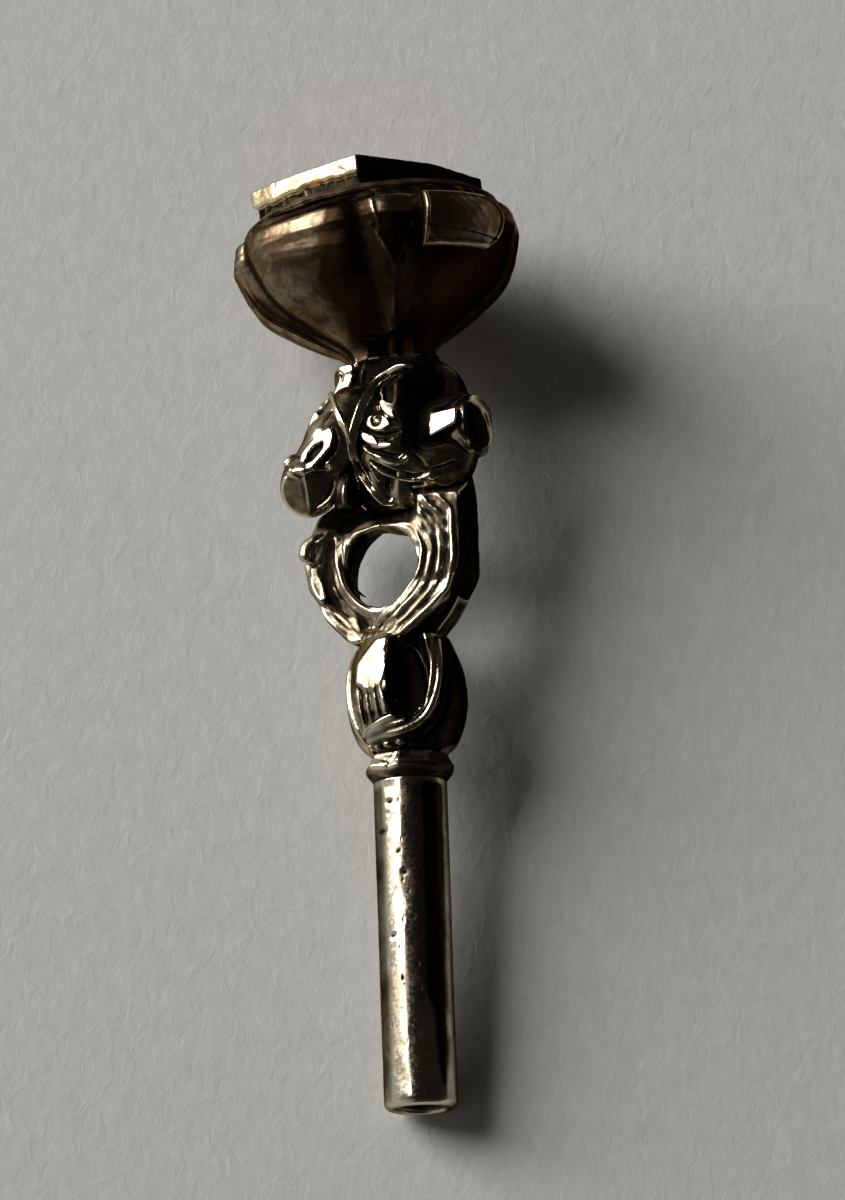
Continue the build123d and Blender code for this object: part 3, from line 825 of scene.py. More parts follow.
def make_cartouche():
    na, nz = ((120, 66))
    b = np.linspace(0, 1, nz)[None, :]
    a = np.linspace(0, 1, na)[:, None]
    z = 2.92 + (5.38 - 2.92) * b + 0 * a
    left = np.interp(z, [2.92, 5.38], [17.8, 19.9])
    right = np.interp(z, [2.92, 3.3, 3.8, 4.2, 4.6, 5.0, 5.38], [51.0, 55.5, 58.6, 59.2, 58.0, 54.5, 47.0])
    deg = left + (right - left) * a
    az = deg * D2R
    base = cup_r(z)
    # distance from the border, in millimetres
    e_side = np.minimum(a * (right - left) * D2R * 6.4, (1 - a) * (right - left) * D2R * 6.4)
    e_end = np.minimum(b * 2.46, (1 - b) * 2.46) + 0 * a
    e = np.minimum(e_side, e_end)
    crease = 3.78 - 0.010 * (deg - 20)
    up = np.interp(z, [3.0, 3.6, 5.3], [0.0, 1.0, 0.0])
    up = np.where(z > crease, np.clip(1 - (z - crease) / (5.3 - crease), 0, 1), np.clip(1 - (crease - z) / (crease - 2.95) * 1.25, 0, 1))
    h = 0.09 + 0.13 * up
    line = np.exp(-((e - 0.13) / 0.10) ** 2)
    h = h + 0.085 * line
    tri = bar(deg, z * 9, (18.5, 3.62 * 9), (25.5, 2.98 * 9), 0.8)
    h = h + 0.06 * tri
    h = h * np.clip(e / 0.06, 0, 1) ** 0.5 + 0.01
    h = h + 0.006 * np.sin(deg * 0.9 + z * 4) * np.sin(z * 7 + deg * 0.3) * np.clip(e / 0.1, 0, 1)
    r1 = np.minimum(base + h, base + 0.27)
    r0 = base - 0.10
    front = from_head(np.stack([r1 * np.sin(az), r1 * np.cos(az), z], -1))
    back = from_head(np.stack([r0 * np.sin(az), r0 * np.cos(az), z], -1))
    p = np.concatenate([front.reshape(-1, 3), back.reshape(-1, 3)])
    idx = np.arange(na * nz).reshape(na, nz)
    q = np.stack([idx[:-1, :-1], idx[1:, :-1], idx[1:, 1:], idx[:-1, 1:]], -1).reshape(-1, 4)
    q2 = (q + na * nz)[:, ::-1]
    loop = np.concatenate([idx[:-1, 0], idx[-1, :-1], idx[:0:-1, -1], idx[0, :0:-1]])
    nxt = np.roll(loop, -1)
    wall = np.stack([nxt, loop, loop + na * nz, nxt + na * nz], -1)
    hollow = np.zeros((na, nz))
    # the dark line just under the crease is painted shade where the plate turns downward; the line inside the border is
    # grime
    hollow = np.clip(np.exp(-((e - 0.26) / 0.07) ** 2) * 0.5 + 0.75 * np.exp(-((z - crease + 0.07) / 0.05) ** 2), 0, 1)
    proud = np.clip(line * 0.55 + tri * 0.4, 0, 1)
    z0 = np.zeros(na * nz)
    # painted shade in the last attribute: darker to the right and below the crease, less on the raised border line, and
    # dark on the back face
    new_piece("vis_cartouche", p, np.concatenate([q, q2, wall]), "cartouche_plate", GILT_CUP,
              np.concatenate([hollow.ravel(), z0]), np.concatenate([proud.ravel(), z0]),
              np.concatenate([np.clip(0.006 * (deg - 30) - 0.15 * line + 0.42 * np.clip((crease - z) / 0.12, 0, 1) * (1 - line), 0, 1).ravel(), z0 + 0.6]))


RIM_PLAN = [(-0.45, 4.85), (-4.00, 2.50), (-5.20, 1.25), (-2.95, -2.00),
            (0.45, -4.85), (4.00, -2.50), (5.20, -1.25), (2.95, 2.00)]


def plan_distance(x, v, pts, k):
    """Distance outside a convex polygon given anticlockwise or clockwise, with corners rounded by k."""
    c = np.mean(pts, 0)
    d = None
    for i in range(len(pts)):
        (x0, y0), (x1, y1) = pts[i], pts[(i + 1) % len(pts)]
        ln = math.hypot(x1 - x0, y1 - y0)
        nx, ny = (y1 - y0) / ln, -(x1 - x0) / ln
        if nx * (c[0] - x0) + ny * (c[1] - y0) > 0:
            nx, ny = -nx, -ny
        e = nx * (x - x0) + ny * (v - y0)
        d = e if d is None else smax(d, e, k)
    return d


def head_coords(x, y, z):
    """Key axes to the seal head's own axes, for fields."""
    x, z = x + 0.2, z - 33.7
    return x * CL + z * SL, y, -x * SL + z * CL


def make_rim():
    lo, hi = np.array([-6.7, -5.3, 39.2]), np.array([5.3, 5.3, 42.5])
    f = Field(lo, hi, FINE * 1.15)
    nz1 = wobble(11, 0.9)
    nz2 = wobble(12, 2.6)

    def walls(x, y, z):
        a, v, h = head_coords(x, y, z)
        d = plan_distance(a, v, RIM_PLAN, 0.10)
        # the bright upper part of the wall ends in a ragged line above the seat
        edge = 6.86 + 0.20 * nz2(a * 1.1, v * 1.1, 0 * h) + 0.07 * nz1(a * 0.9, v * 0.9, 0 * h)
        step = np.clip((h - edge) / 0.10, 0, 1)
        d = d + 0.02 + 0.17 * (1 - step * step * (3 - 2 * step)) + 0.02 * (1 - step) * np.sin(9 * a + 6 * v + 2 * nz1(a, v, h))
        top = h - 7.75 + 0.015 * nz1(a, v, 0 * h)
        d = smax(d, top, 0.07)
        inner = plan_distance(a, v, RIM_PLAN, 0.06) + 0.55
        deep = 6.67 - h
        d = smax(d, -smax(inner, deep, 0.03), 0.05)
        core = plan_distance(a, v, RIM_PLAN, 0.06) + 1.10
        d = smax(d, -core, 0.03)
        d = smax(d, 6.22 - h, 0.02)
        return d - 0.008 * nz1(a * 2, v * 2, h * 2)
    f.add(walls)
    keep_big(f)
    for line, w in (([(274.5, 180), (273.5, 191)], 0.055), ([(337, 168), (346, 172)], 0.05), ([(258, 196), (263, 190)], 0.05)):
        groove(f, line, w, w * 1.2, 0.03)

    # painted shade: the walls turned right, away from the lamp, are dark; below the ragged edge the wall is darker
    def darkening(p, n):
        a, v, h = head_coords(p[:, 0], p[:, 1], p[:, 2])
        edge = 6.86 + 0.20 * nz2(a * 1.1, v * 1.1, 0 * h) + 0.07 * nz1(a * 0.9, v * 0.9, 0 * h)
        low = np.clip((edge + 0.02 - h) / 0.10, 0, 1) * (1.05 + 0.20 * np.sin(9 * a + 6 * v + 3 * nz1(a, v, h)))
        return np.clip(low + 1.7 * np.clip((n[:, 0] - 0.05) / 0.3, 0, 1) * (np.abs(n[:, 2]) < 0.75), 0, 1.7)
    carve("vis_bezel_rim", f, "bezel_rim", GILT_RIM, darkening=darkening)


def make_seat():
    n = 256
    az = np.arange(n)[:, None] * 2 * math.pi / n
    sec = smooth_line([(5.0, 5.80, 0), (5.70, 5.80, 0), (5.72, 5.88, 0), (5.66, 5.98, 0), (5.52, 6.12, 0), (5.40, 6.20, 0), (5.1, 6.215, 0), (4.4, 6.22, 0), (3.0, 6.22, 0), (1.2, 6.22, 0)], 0.08)
    r = sec[None, :, 0] + 0 * az
    z = sec[None, :, 1] + 0 * az
    w = np.clip((sec[None, :, 0] - 4.0) / 1.2, 0, 1)
    r = r - 0.02 - 0.03 * np.abs(np.sin(az * 9 + 2 * np.sin(az * 4))) * w
    z = z + 0.0 * az - 0.02 * w * (1 + np.sin(az * 14 + 3 * z))
    under = np.array([(1.2, 5.82), (3.5, 5.80)])
    r = np.concatenate([r, np.broadcast_to(under[:, 0], (n, 2))], 1)
    z = np.concatenate([z, np.broadcast_to(under[:, 1], (n, 2))], 1)
    p, faces, bend = ring_mesh(r, z, from_head)
    hollow = np.clip(0.25 + 0.5 * np.exp(-((z - 5.86) / 0.05) ** 2), 0, 1)
    # painted shade: the seat is darker on its right-hand side, away from the lamp, in streaks
    new_piece("vis_seat_plate", p.reshape(-1, 3), faces, "seat_plate", GILT_SHELF, hollow.ravel(), np.clip(bend / 0.02, 0, 1).ravel() * 0.12,
              np.clip(0.62 + 0.5 * np.sin(az) + 0.12 * np.sin(az * 23 + 2 * np.sin(az * 5)) + 0 * r, 0, 1.1).ravel())


# ---------------------------------------------------------------------------
# The figure.
# ---------------------------------------------------------------------------
FIG_CORE = [(1.10, 26.30), (1.75, 26.95), (2.15, 28.2), (2.28, 29.6), (2.20, 31.0), (2.05, 32.2), (1.95, 33.05), (1.95, 34.2)]
_f = smooth_line([(r, z, 0.0) for r, z in FIG_CORE], 0.05)


def below_cup(x, y, z):
    return head_coords(x, y, z)[2] + 0.62


def turned_solid(a, b, profile, k=0.15):
    """A body turned about the line from a to b; profile is (distance along, radius)."""
    a, b = np.asarray(a, float), np.asarray(b, float)
    w = (b - a) / np.linalg.norm(b - a)
    ts, rs = np.array([p[0] for p in profile]), np.array([p[1] for p in profile])

    def f(x, y, z):
        t = (x - a[0]) * w[0] + (y - a[1]) * w[1] + (z - a[2]) * w[2]
        q = np.sqrt(np.maximum((x - a[0]) ** 2 + (y - a[1]) ** 2 + (z - a[2]) ** 2 - t * t, 0))
        return smax((q - np.interp(t, ts, rs)) * 0.85, np.maximum(ts[0] - t, t - ts[-1]), k)
    return f


def tube(f, line, k=0.10, press=False, flat=0.85):
    """A strand through picture points (x, y, v of its front, half width)."""
    c = smooth_line(np.asarray(line, float), 3.0)
    p = np.array([on_plane(x, y, v - flat * w) for x, y, v, w in c])
    f.path(p, c[:, 3], press=press, k=k)
    return p


def core_field():
    f = Field((-2.9, -2.7, 26.1), (2.7, 2.9, 33.7))
    fur = wobble(21, 1.6)
    neck_az = np.linspace(-math.pi, math.pi, 361)
    neck_r = cup_skin(neck_az, np.full(361, -0.60))[0]

    def body(x, y, z):
        az = np.arctan2(x, y)
        r = np.interp(z, _f[:, 1], _f[:, 0]) - 0.10
        # locks of hair, running down and slightly round the neck
        wave = az * 9 + 0.9 * z + 0.8 * fur(x, y, z)
        lock = 0.5 + 0.5 * np.cos(wave)
        fade = np.clip((32.6 - z) / 1.0, 0, 1) * np.clip((z - 26.4) / 0.8, 0, 1)
        r = r + (0.10 - 0.30 * (1 - lock) ** 1.5 * fade)
        return (np.sqrt(x * x + y * y) - r) * 0.9

    def neck(x, y, z):
        # the cup's lobes and ribs run on down the neck
        a, v, h = head_coords(x, y, z)
        r = np.interp(np.arctan2(a, v), neck_az, neck_r)
        return smax((np.sqrt(a * a + v * v) - r) * 0.9, -2.1 - h, 0.3)
    f.add(body)
    f.add(neck, k=0.12)
    f.add(egg((-1.45, 0.05, 32.5), (1.28, 1.15, 1.75)), k=0.25)
    f.cut(lambda x, y, z: smax(1.42 - (y - 0.14 * x) + 0.10 * np.clip(33.3 - z, 0, 2.5), 30.8 - z + 0 * x, 0.2), k=0.08)
    f.add(egg(on_plane(345, 494, 0.9), (0.62, 0.70, 1.15)), k=0.2)
    # the neck's left flank runs down to the left head, full in the light
    facet(f, [(338.5, 344), (357, 345), (360, 362), (354, 378), (345, 384), (338.5, 376), (337, 360)], 1.22, k=0.12, plate=0.9)
    facet(f, [(341, 374), (354, 374), (350, 388), (342, 400), (334, 405), (330, 397)], 1.28, k=0.12, plate=0.9)
    groove(f, [(350, 360), (355, 366), (352, 374)], 0.07, 0.09, 0.05)
    groove(f, [(338, 371), (343, 375), (341, 383)], 0.06, 0.07, 0.05)
    f.keep(lambda x, y, z: below_cup(x, y, z) - 0.02 + 0.0 * x, 0.0)
    f.keep(lambda x, y, z: 26.3 - z + 0 * x + 0 * y, 0.05)
    return f


NOSE = (np.array([3.50, 1.75, 29.72]), np.array([0.86, 0.50, -0.08]) / np.linalg.norm([0.86, 0.50, -0.08]))


def right_head_field():
    f = Field((-2.4, -1.6, 26.3), (5.0, 3.7, 33.6))
    f.add(drum((0.98, 0.76, 30.88), 2.02, 1.86, 4.4, (0.20, 1.0, 0.06)))
    f.add(egg((1.30, 0.30, 30.95), (1.90, 1.70, 2.00)), k=0.1)
    # the side of the face, where the hair springs from
    f.add(egg((0.02, 1.00, 29.15), (1.98, 1.60, 2.02)), k=0.20)
    # cheek, jaw and throat
    f.add(egg((1.45, 1.00, 28.15), (1.80, 1.45, 1.22)), k=0.3)
    f.add(egg((2.20, 1.15, 28.62), (1.25, 1.15, 1.20)), k=0.2)
    # snout, widening to the nose
    f.add(turned_solid((1.0, 1.20, 30.02), (3.62, 1.66, 29.74), [(0, 1.20), (0.45, 1.02), (0.80, 1.00), (1.2, 1.10), (1.6, 1.24), (1.95, 1.33), (2.2, 1.36), (2.9, 1.36)]), k=0.10)
    # the far cheek bone, a flat that looks into the window
    facet(f, [(429, 410.5), (457, 407.5), (456, 424), (429, 435)], 2.97, k=0.03, plate=1.3)
    c, n = NOSE
    f.keep(lambda x, y, z: (x - c[0]) * n[0] + (y - c[1]) * n[1] + (z - c[2]) * n[2], 0.10)
    f.cut(ball(c + n * 4.30, 4.36), k=0.05)
    f.keep(lambda x, y, z: below_cup(x, y, z) + 0.0 * x, 0.02)
    return f


def carve_right_head(f, on):
    # creases of the nose and the brow
    groove(f, [(463, 441), (470, 446), (478, 447)], 0.07, 0.09, 0.05)
    groove(f, [(461, 405), (459, 416), (461, 428), (467, 438)], 0.09, 0.08, 0.06)
    ridge(f, [(472, 399), (480, 405), (486.5, 415), (490, 430), (490, 443), (485, 451)], 0.09, 0.08, 0.03)
    # the dome's left edge drops steeply behind the hood
    v = hit([f], 392, 386)[1]
    facet(f, [(382, 376), (394, 366), (403, 372), (399, 392), (394, 404), (384, 400)], v - 0.10, normal=(-0.82, 0.55, 0.10), k=0.06)
    # eye: almond with lids and pupil
    groove(f, [(361, 425), (366, 430), (375, 434.5), (388, 435), (399, 431)], 0.17, 0.20, 0.05)
    v = hit([f], 377, 421)[1]
    facet(f, [(362, 419.4), (370.8, 412.6), (381, 413.4), (389, 419.4), (391, 426.5), (383, 431), (374, 430.6), (366.5, 426)], v + 0.10, k=0.03, plate=0.4)
    groove(f, [(360, 416), (367, 409.5), (378, 407.5), (387, 412), (392.5, 420)], 0.06, 0.10, 0.03)
    ridge(f, [(360, 414), (367, 407), (377, 405.5)], 0.10, 0.09, 0.04)
    groove(f, [(372.6, 418), (374.5, 415.6), (378, 415.4), (381, 418), (381.2, 422), (378.4, 424.6), (375, 424.4), (372.8, 421.6), (372.6, 418)], 0.060, 0.13, 0.02, taper=False)
    groove(f, [(364, 422.5), (369, 419.5)], 0.04, 0.06, 0.02)
    # brow patch that catches the light, and the dark hollow above it
    v = hit([f], 385, 408)[1]
    facet(f, [(378, 398), (386.5, 398.5), (391.5, 408), (396, 421), (389, 417.5), (381, 409)], v + 0.12, k=0.03, plate=0.4)
    # lids below the eye
    ridge(f, [(364, 430), (371, 436.5), (380, 440.5), (390, 441.5)], 0.07, 0.07, 0.03)
    v = hit([f], 366, 436)[1]
    facet(f, [(358, 426.5), (363.5, 429), (376, 437.5), (378, 447), (368, 444.5), (361, 438)], v + 0.20, k=0.03, plate=0.5)
    v = hit([f], 382, 443.5)[1]
    facet(f, [(369, 436.5), (381, 440.5), (393, 441.5), (392, 447.5), (382, 448.5), (370, 446)], v + 0.12, k=0.04, plate=0.5)
    # folds and hair of the cheek, each a long curve
    for line, w, h in (
            ([(368, 451), (380, 457.5), (395, 462.5), (404, 461), (408, 456)], 0.13, 0.15),
            ([(370.5, 457.5), (383, 463.5), (397, 469), (409, 470)], 0.08, 0.09),
            ([(370.5, 463), (380.5, 470.5), (395.5, 476.5), (411, 479.5), (422, 478.5), (431, 474)], 0.14, 0.19),
            ([(372.5, 472), (381.5, 482), (387, 490.5), (388, 496)], 0.13, 0.16),
            ([(384, 480), (395, 486), (408, 488), (420, 486)], 0.11, 0.10),
            ([(396, 493), (410, 495.5), (425, 494)], 0.09, 0.07)):
        ridge(f, line, w, h, 0.04)
    for line, w in (
            ([(364, 446), (372, 450), (384, 453.5), (396, 455.5), (403, 452)], 0.11),
            ([(369, 460), (381, 466.5), (396, 473), (412, 475.5), (424, 472)], 0.11),
            ([(371, 468), (381, 477), (394, 483), (410, 484.5), (424, 483)], 0.11),
            ([(376, 483), (382, 491), (385, 498)], 0.09),
            ([(402, 440), (410, 450), (420, 460), (428, 468)], 0.09)):
        groove(f, line, w, w * 1.4, 0.04)
    # mouth corner and lip
    f.add(egg(hit([f], 432, 476.5) + np.array([0, -0.06, 0]), (0.26, 0.18, 0.16)), k=0.06)
    groove(f, [(428, 468), (440, 467), (452, 462), (463, 461)], 0.09, 0.11, 0.06)
    ridge(f, [(436, 481), (446, 484), (456, 479)], 0.12, 0.06, 0.08)
    # small creases on the dome by the edge
    for line in ([(446, 374), (449, 384), (449, 394)], [(452, 380), (456, 389), (455, 397)], [(459, 388), (461, 396)]):
        ridge(f, line, 0.06, 0.05, 0.04)
    # inner line of the hood
    groove(f, [(399, 376), (391, 383), (386, 391), (385, 399)], 0.13, 0.16, 0.06)
    ridge(f, [(397, 374), (388, 380), (381.5, 390), (379.5, 399)], 0.06, 0.06, 0.03)
    un = wobble(31, 1.1)
    f.swell(lambda x, y, z: 0.014 * un(x, y, z))
    return f


def left_head_field():
    f = Field((-5.9, -1.8, 25.6), (0.2, 3.2, 32.7))
    # brow, running down to the muzzle
    f.add(capsule((-1.90, 0.85, 30.80), (-2.85, 0.98, 29.35), 1.18, 1.30))
    f.add(egg((-1.30, 0.60, 30.3), (1.35, 1.35, 1.95)), k=0.3)
    f.add(egg((-3.25, 0.95, 28.60), (1.28, 1.12, 1.15)), k=0.25)
    # muzzle: two flattish sides that meet in an upright ridge and run back towards the chin
    whole = egg((-3.93, 0.88, 27.52), (1.30, 1.20, 1.42), axes_of((0.99, 0, -0.10), (0.10, 0, 0.99)))
    p0, p1 = on_plane(304.5, 472, 2.00), on_plane(309.5, 512, 0.95)
    run = p1 - p0
    sides = []
    for across in ((-1.0, -0.42, 0.0), (1.0, -0.24, 0.0)):
        n = np.cross(run, across)
        n /= np.linalg.norm(n) * (1 if n[1] > 0 else -1)
        sides.append(n)

    def muzzle(x, y, z):
        d = whole(x, y, z)
        for n in sides:
            d = smax(d, (x - p0[0]) * n[0] + (y - p0[1]) * n[1] + (z - p0[2]) * n[2], 0.05)
        return d
    f.add(muzzle, k=0.08)
    f.keep(lambda x, y, z: below_cup(x, y, z) + 0.0 * x, 0.02)
    return f


def carve_left_head(f):
    # the flat of the eye: a bright rim with a slanting slit
    v = hit([f], 317, 448)[1]
    facet(f, [(331, 426), (334, 437), (331.5, 449), (322, 459), (311, 469), (305, 467), (300, 459), (300.5, 451), (314, 437)], v + 0.10, k=0.05, plate=0.5)
    groove(f, [(323, 441.5), (320.5, 447), (314, 455), (305.5, 462.5)], 0.15, 0.26, 0.03)
    groove(f, [(319, 444), (313, 451), (308, 457)], 0.12, 0.22, 0.03)
    # brow
    ridge(f, [(334, 397), (324, 404), (317.5, 414), (313, 427)], 0.10, 0.06, 0.06)
    groove(f, [(336, 406), (328, 416), (323, 425)], 0.08, 0.07, 0.06)
    groove(f, [(333, 428), (337, 438), (335, 450), (326, 460), (315, 470)], 0.09, 0.10, 0.05)
    v = hit([f], 313, 420)[1]
    facet(f, [(316, 409), (320, 413), (315, 433), (306.5, 433), (309, 420)], v + 0.14, k=0.04, plate=0.5)
    # nose line, ridge between the sides, nostril and edge bead
    groove(f, [(284, 474), (295, 479), (303, 476), (313, 472.5), (326, 472), (336, 470)], 0.07, 0.08, 0.04)
    ridge(f, [(304, 474), (306.5, 486), (308.5, 499), (310, 511)], 0.07, 0.10, 0.03)
    groove(f, [(302.5, 480), (305, 492), (307.5, 508)], 0.05, 0.05, 0.03)
    ridge(f, [(286, 472), (293, 475.5), (301, 477)], 0.09, 0.08, 0.04)
    ridge(f, [(285, 466), (289, 460), (296, 455)], 0.16, 0.10, 0.06)
    groove(f, [(333.5, 476), (332.5, 487), (326, 499), (314, 508)], 0.09, 0.12, 0.04)
    ridge(f, [(337.5, 470), (337, 484), (329.5, 500), (314, 511.5)], 0.12, 0.11, 0.05)
    f.cut(ball(hit([f], 323.5, 466) + TOWARDS * 0.04, 0.13), k=0.04)
    f.add(ball(hit([f], 331, 466) - TOWARDS * 0.04, 0.14), k=0.04)
    f.add(ball(hit([f], 291, 470) - TOWARDS * 0.05, 0.13), k=0.04)
    un = wobble(41, 1.0)
    f.swell(lambda x, y, z: 0.014 * un(x, y, z))
    return f


T28 = math.radians(28.0)
CT, ST = math.cos(T28), math.sin(T28)
LOOP = [(2.95, 28.40), (3.22, 26.60), (3.24, 22.62), (2.26, 21.62), (1.65, 20.60), (-2.20, 20.60), (-3.35, 21.75),
        (-3.78, 22.70), (-4.02, 24.40), (-3.98, 26.70), (-3.30, 27.40), (-2.0, 28.30), (1.6, 28.90)]
HOLE = (-0.52, 23.84)
_streak = wobble(55, 1.4)


def loop_coords(x, y):
    """Across the loop's width, and out of its flat front."""
    return x * CT + y * ST, -x * ST + y * CT


LOOP_N = np.array([-ST, CT, 0.0])
_cross = np.array([on_tilted(px, py, LOOP_N, 1.18) for px, py in smooth_line(
    [(436, 560), (434, 578), (424, 597), (408, 613), (392, 628), (380, 643), (372, 660)], 4.0)])
_cross = np.stack([_cross[:, 0] * CT + _cross[:, 1] * ST, _cross[:, 2]], 1)


def from_cross(a, z):
    """Distance from the middle line of the strand that crosses in front, and on which side."""
    best, side = np.full(np.broadcast(a, z).shape, 9.0), np.zeros(np.broadcast(a, z).shape)
    for (x0, z0), (x1, z1) in zip(_cross[:-1], _cross[1:]):
        ll = (x1 - x0) ** 2 + (z1 - z0) ** 2
        k = np.clip(((a - x0) * (x1 - x0) + (z - z0) * (z1 - z0)) / ll, 0, 1)
        d = np.hypot(a - x0 - k * (x1 - x0), z - z0 - k * (z1 - z0))
        s = np.sign((a - x0) * (z1 - z0) - (z - z0) * (x1 - x0))
        side = np.where(d < best, s, side)
        best = np.minimum(best, d)
    return best, side


def loop_body(x, y, z):
    a, w = loop_coords(x, y)
    d = plan_distance(a, z + 0 * a, LOOP, 0.12)
    q = np.sqrt((a - HOLE[0]) ** 2 + ((z - HOLE[1]) / 0.985) ** 2)
    # front: a channel between the inner and the outer edge of each strand, with chased lines along it
    front = 1.18 - 0.30 * np.exp(-((q - 2.72) / 0.36) ** 2) * np.clip((0.2 - a) / 0.8, 0, 1)
    front = front - 0.026 * (0.5 + 0.5 * np.cos(2 * math.pi * q / 0.27 + 1.6 * _streak(x, y, z))) * np.clip((3.5 - q) / 0.3, 0, 1)
    # the right-hand strand's face slopes off to its outer edge
    front = front - 0.30 * np.clip(a - 1.55, 0, 1.5) * np.clip((z - 22.6) / 1.2, 0, 1)
    # it sinks away under the heads and under the crossing
    right = np.clip((a - 0.9) / 0.5, 0, 1)
    front = front - np.clip((z - 25.55) * 0.80, 0, 2.2) * (1 - right) - np.clip((z - 26.75) / 0.7, 0, 1) * right * 1.1
    off, side = from_cross(a + 0 * z, z + 0 * a)
    on = np.clip((0.92 - off) / 0.16, 0, 1)
    on = on * on * (3 - 2 * on)
    low = np.clip((23.1 - z) / 0.35, 0, 1)
    front = front + low * on * (0.16 - 0.20 * np.clip((off - 0.25) / 0.6, 0, 1) ** 2) - low * (1 - on) * np.where(side < 0, 0.95, 0.12)
    d = smax(d, (w - front) * 0.9, 0.10)
    d = smax(d, -w - 1.18, 0.14)
    wide = 1.80 + 0.42 * np.clip((0.5 - w) / 1.5, 0, 1) * np.clip((HOLE[0] - a) / 0.8, 0, 1)
    d = smax(d, (wide - q) * 0.95, 0.10)
    # back face: ridges that follow the hole
    back = np.clip((-w - 0.7) / 0.3, 0, 1)
    d = d + 0.055 * (1 - np.cos(2 * math.pi * (q - 1.95) / 0.55)) * 0.5 * back * np.clip((4.2 - q) / 0.8, 0, 1)
    return d


def strand_fields():
    f_r = Field((-3.4, -2.9, 20.2), (4.2, 3.3, 29.2))
    f_l = Field((-4.8, -3.6, 20.2), (2.8, 3.0, 28.8))

    def halves(x, y, z):
        a, w = loop_coords(x, y)
        off, s = from_cross(a + 0 * z, z + 0 * a)
        over = smax(smax(off - 0.97, 0.30 - w + 0 * z, 0.05), z - 23.2 + 0 * a, 0.05)
        right = np.minimum(np.maximum(22.3 - z, HOLE[0] - a), np.maximum(np.maximum(z - 22.3, -w - 0.01), s * off - 0.97))
        left = np.minimum(np.maximum(22.3 - z, a - HOLE[0]), np.maximum(z - 22.3, np.minimum(w + 0.01, 0.97 - s * off)))
        return np.minimum(right, over), np.maximum(left, -over)

    def right_part(x, y, z):
        return np.maximum(loop_body(x, y, z), halves(x, y, z)[0])

    def left_part(x, y, z):
        return np.maximum(loop_body(x, y, z), halves(x, y, z)[1])
    f_r.add(right_part)
    f_l.add(left_part)
    return f_r, f_l


def carve_right_strand(f):
    # the strand crosses in front, down to the left
    # and the corner below it is dark and hollow
    tube(f, [(468, 608, 2.2, 0.40), (455, 618, 2.1, 0.55), (441, 630, 2.1, 0.70), (428, 644, 2.2, 0.70)], k=0.12, press=True, flat=0.2)
    for line, w, h in (
            ([(384, 527), (395, 523.5), (405, 523), (415, 530), (421.5, 544), (421, 559), (417, 574), (407, 590), (397, 602), (383, 613), (368, 636), (360, 650)], 0.09, 0.08),
            ([(429, 527), (432, 545), (429, 564), (424, 579), (414, 593), (401, 607), (387, 622), (375, 636), (366, 651)], 0.07, 0.045),
            ([(438, 520), (440, 545), (438, 566), (433, 584), (421, 600), (407, 615), (393, 630), (380, 646)], 0.07, 0.040),
            ([(433, 491), (443, 500), (450.5, 509), (451.5, 527), (452.5, 557), (448, 583), (440, 595), (419, 616), (402, 631), (391, 645), (384, 660)], 0.14, 0.13),
            ([(411, 501), (418, 510), (424, 518)], 0.07, 0.09),
            ([(422, 496), (431, 506), (443, 514)], 0.08, 0.10)):
        ridge(f, line, w, h, 0.05)
    for line, w in (
            ([(409, 526), (419, 534), (425.5, 547), (424.5, 561), (420, 576), (410, 591.5), (399, 605), (384, 619), (371, 637)], 0.07),
            ([(434, 522), (436, 545), (433.5, 565), (428, 582), (417, 597), (404, 611), (390, 626), (377, 642)], 0.07),
            ([(444, 520), (446, 545), (444, 568), (438, 585), (428, 599), (412, 614), (397, 630)], 0.06),
            ([(416, 499), (424, 508), (433, 516)], 0.06)):
        groove(f, line, w, w * 1.2, 0.04)
    # light edge at the back of the side wall
    ridge(f, [(476, 508), (476.5, 528), (475, 560), (473.5, 588)], 0.08, 0.05, 0.05)
    un = wobble(51, 0.7)
    f.swell(lambda x, y, z: 0.016 * un(x, y, z))
    return f


def carve_left_strand(f):
    # broad outer facets in the light
    v = hit([f], 314, 582)[1]
    facet(f, [(304, 560), (319, 562), (323, 582), (331, 598), (320, 604), (309, 588)], v + 0.06, k=0.06, plate=0.5)
    v = hit([f], 341, 613)[1]
    facet(f, [(317, 598), (330, 594), (346, 606), (360, 626), (362, 640), (341, 619)], v + 0.06, k=0.06, plate=0.5)
    for line, w, h in (
            ([(309, 566), (312, 582), (319, 597), (330, 609), (342, 617), (352, 628), (361, 640)], 0.10, 0.06),
            ([(338, 528), (336.5, 550), (339, 572), (346, 590), (358, 604), (373, 613)], 0.10, 0.10),
            ([(349, 530), (345, 546), (346, 566), (352, 583), (363, 596), (377, 604)], 0.07, 0.06)):
        ridge(f, line, w, h, 0.05)
    for line, w in (
            ([(343.5, 533), (341.5, 550), (343.5, 570), (350, 586), (361, 600)], 0.065),
            ([(330, 560), (332, 578), (339, 595), (351, 610), (366, 620)], 0.07)):
        groove(f, line, w, w * 1.2, 0.04)
    # a small curled lip on the outside, with a slit above it
    p = traced([f], [(303.5, 556), (304.5, 549), (309, 543), (317, 538), (326, 533)])
    f.path(p - TOWARDS * 0.02 + np.array([0.10, 0, 0]), [0.30, 0.30, 0.24, 0.16, 0.10], k=0.08)
    groove(f, [(314, 541), (320, 535.5), (325, 532)], 0.10, 0.16, 0.03)
    ridge(f, [(315, 544.5), (321, 540), (327, 535)], 0.08, 0.08, 0.03)
    groove(f, [(304, 563), (312, 566), (322, 564)], 0.07, 0.08, 0.04)
    un = wobble(52, 0.8)
    f.swell(lambda x, y, z: 0.012 * un(x, y, z))
    return f


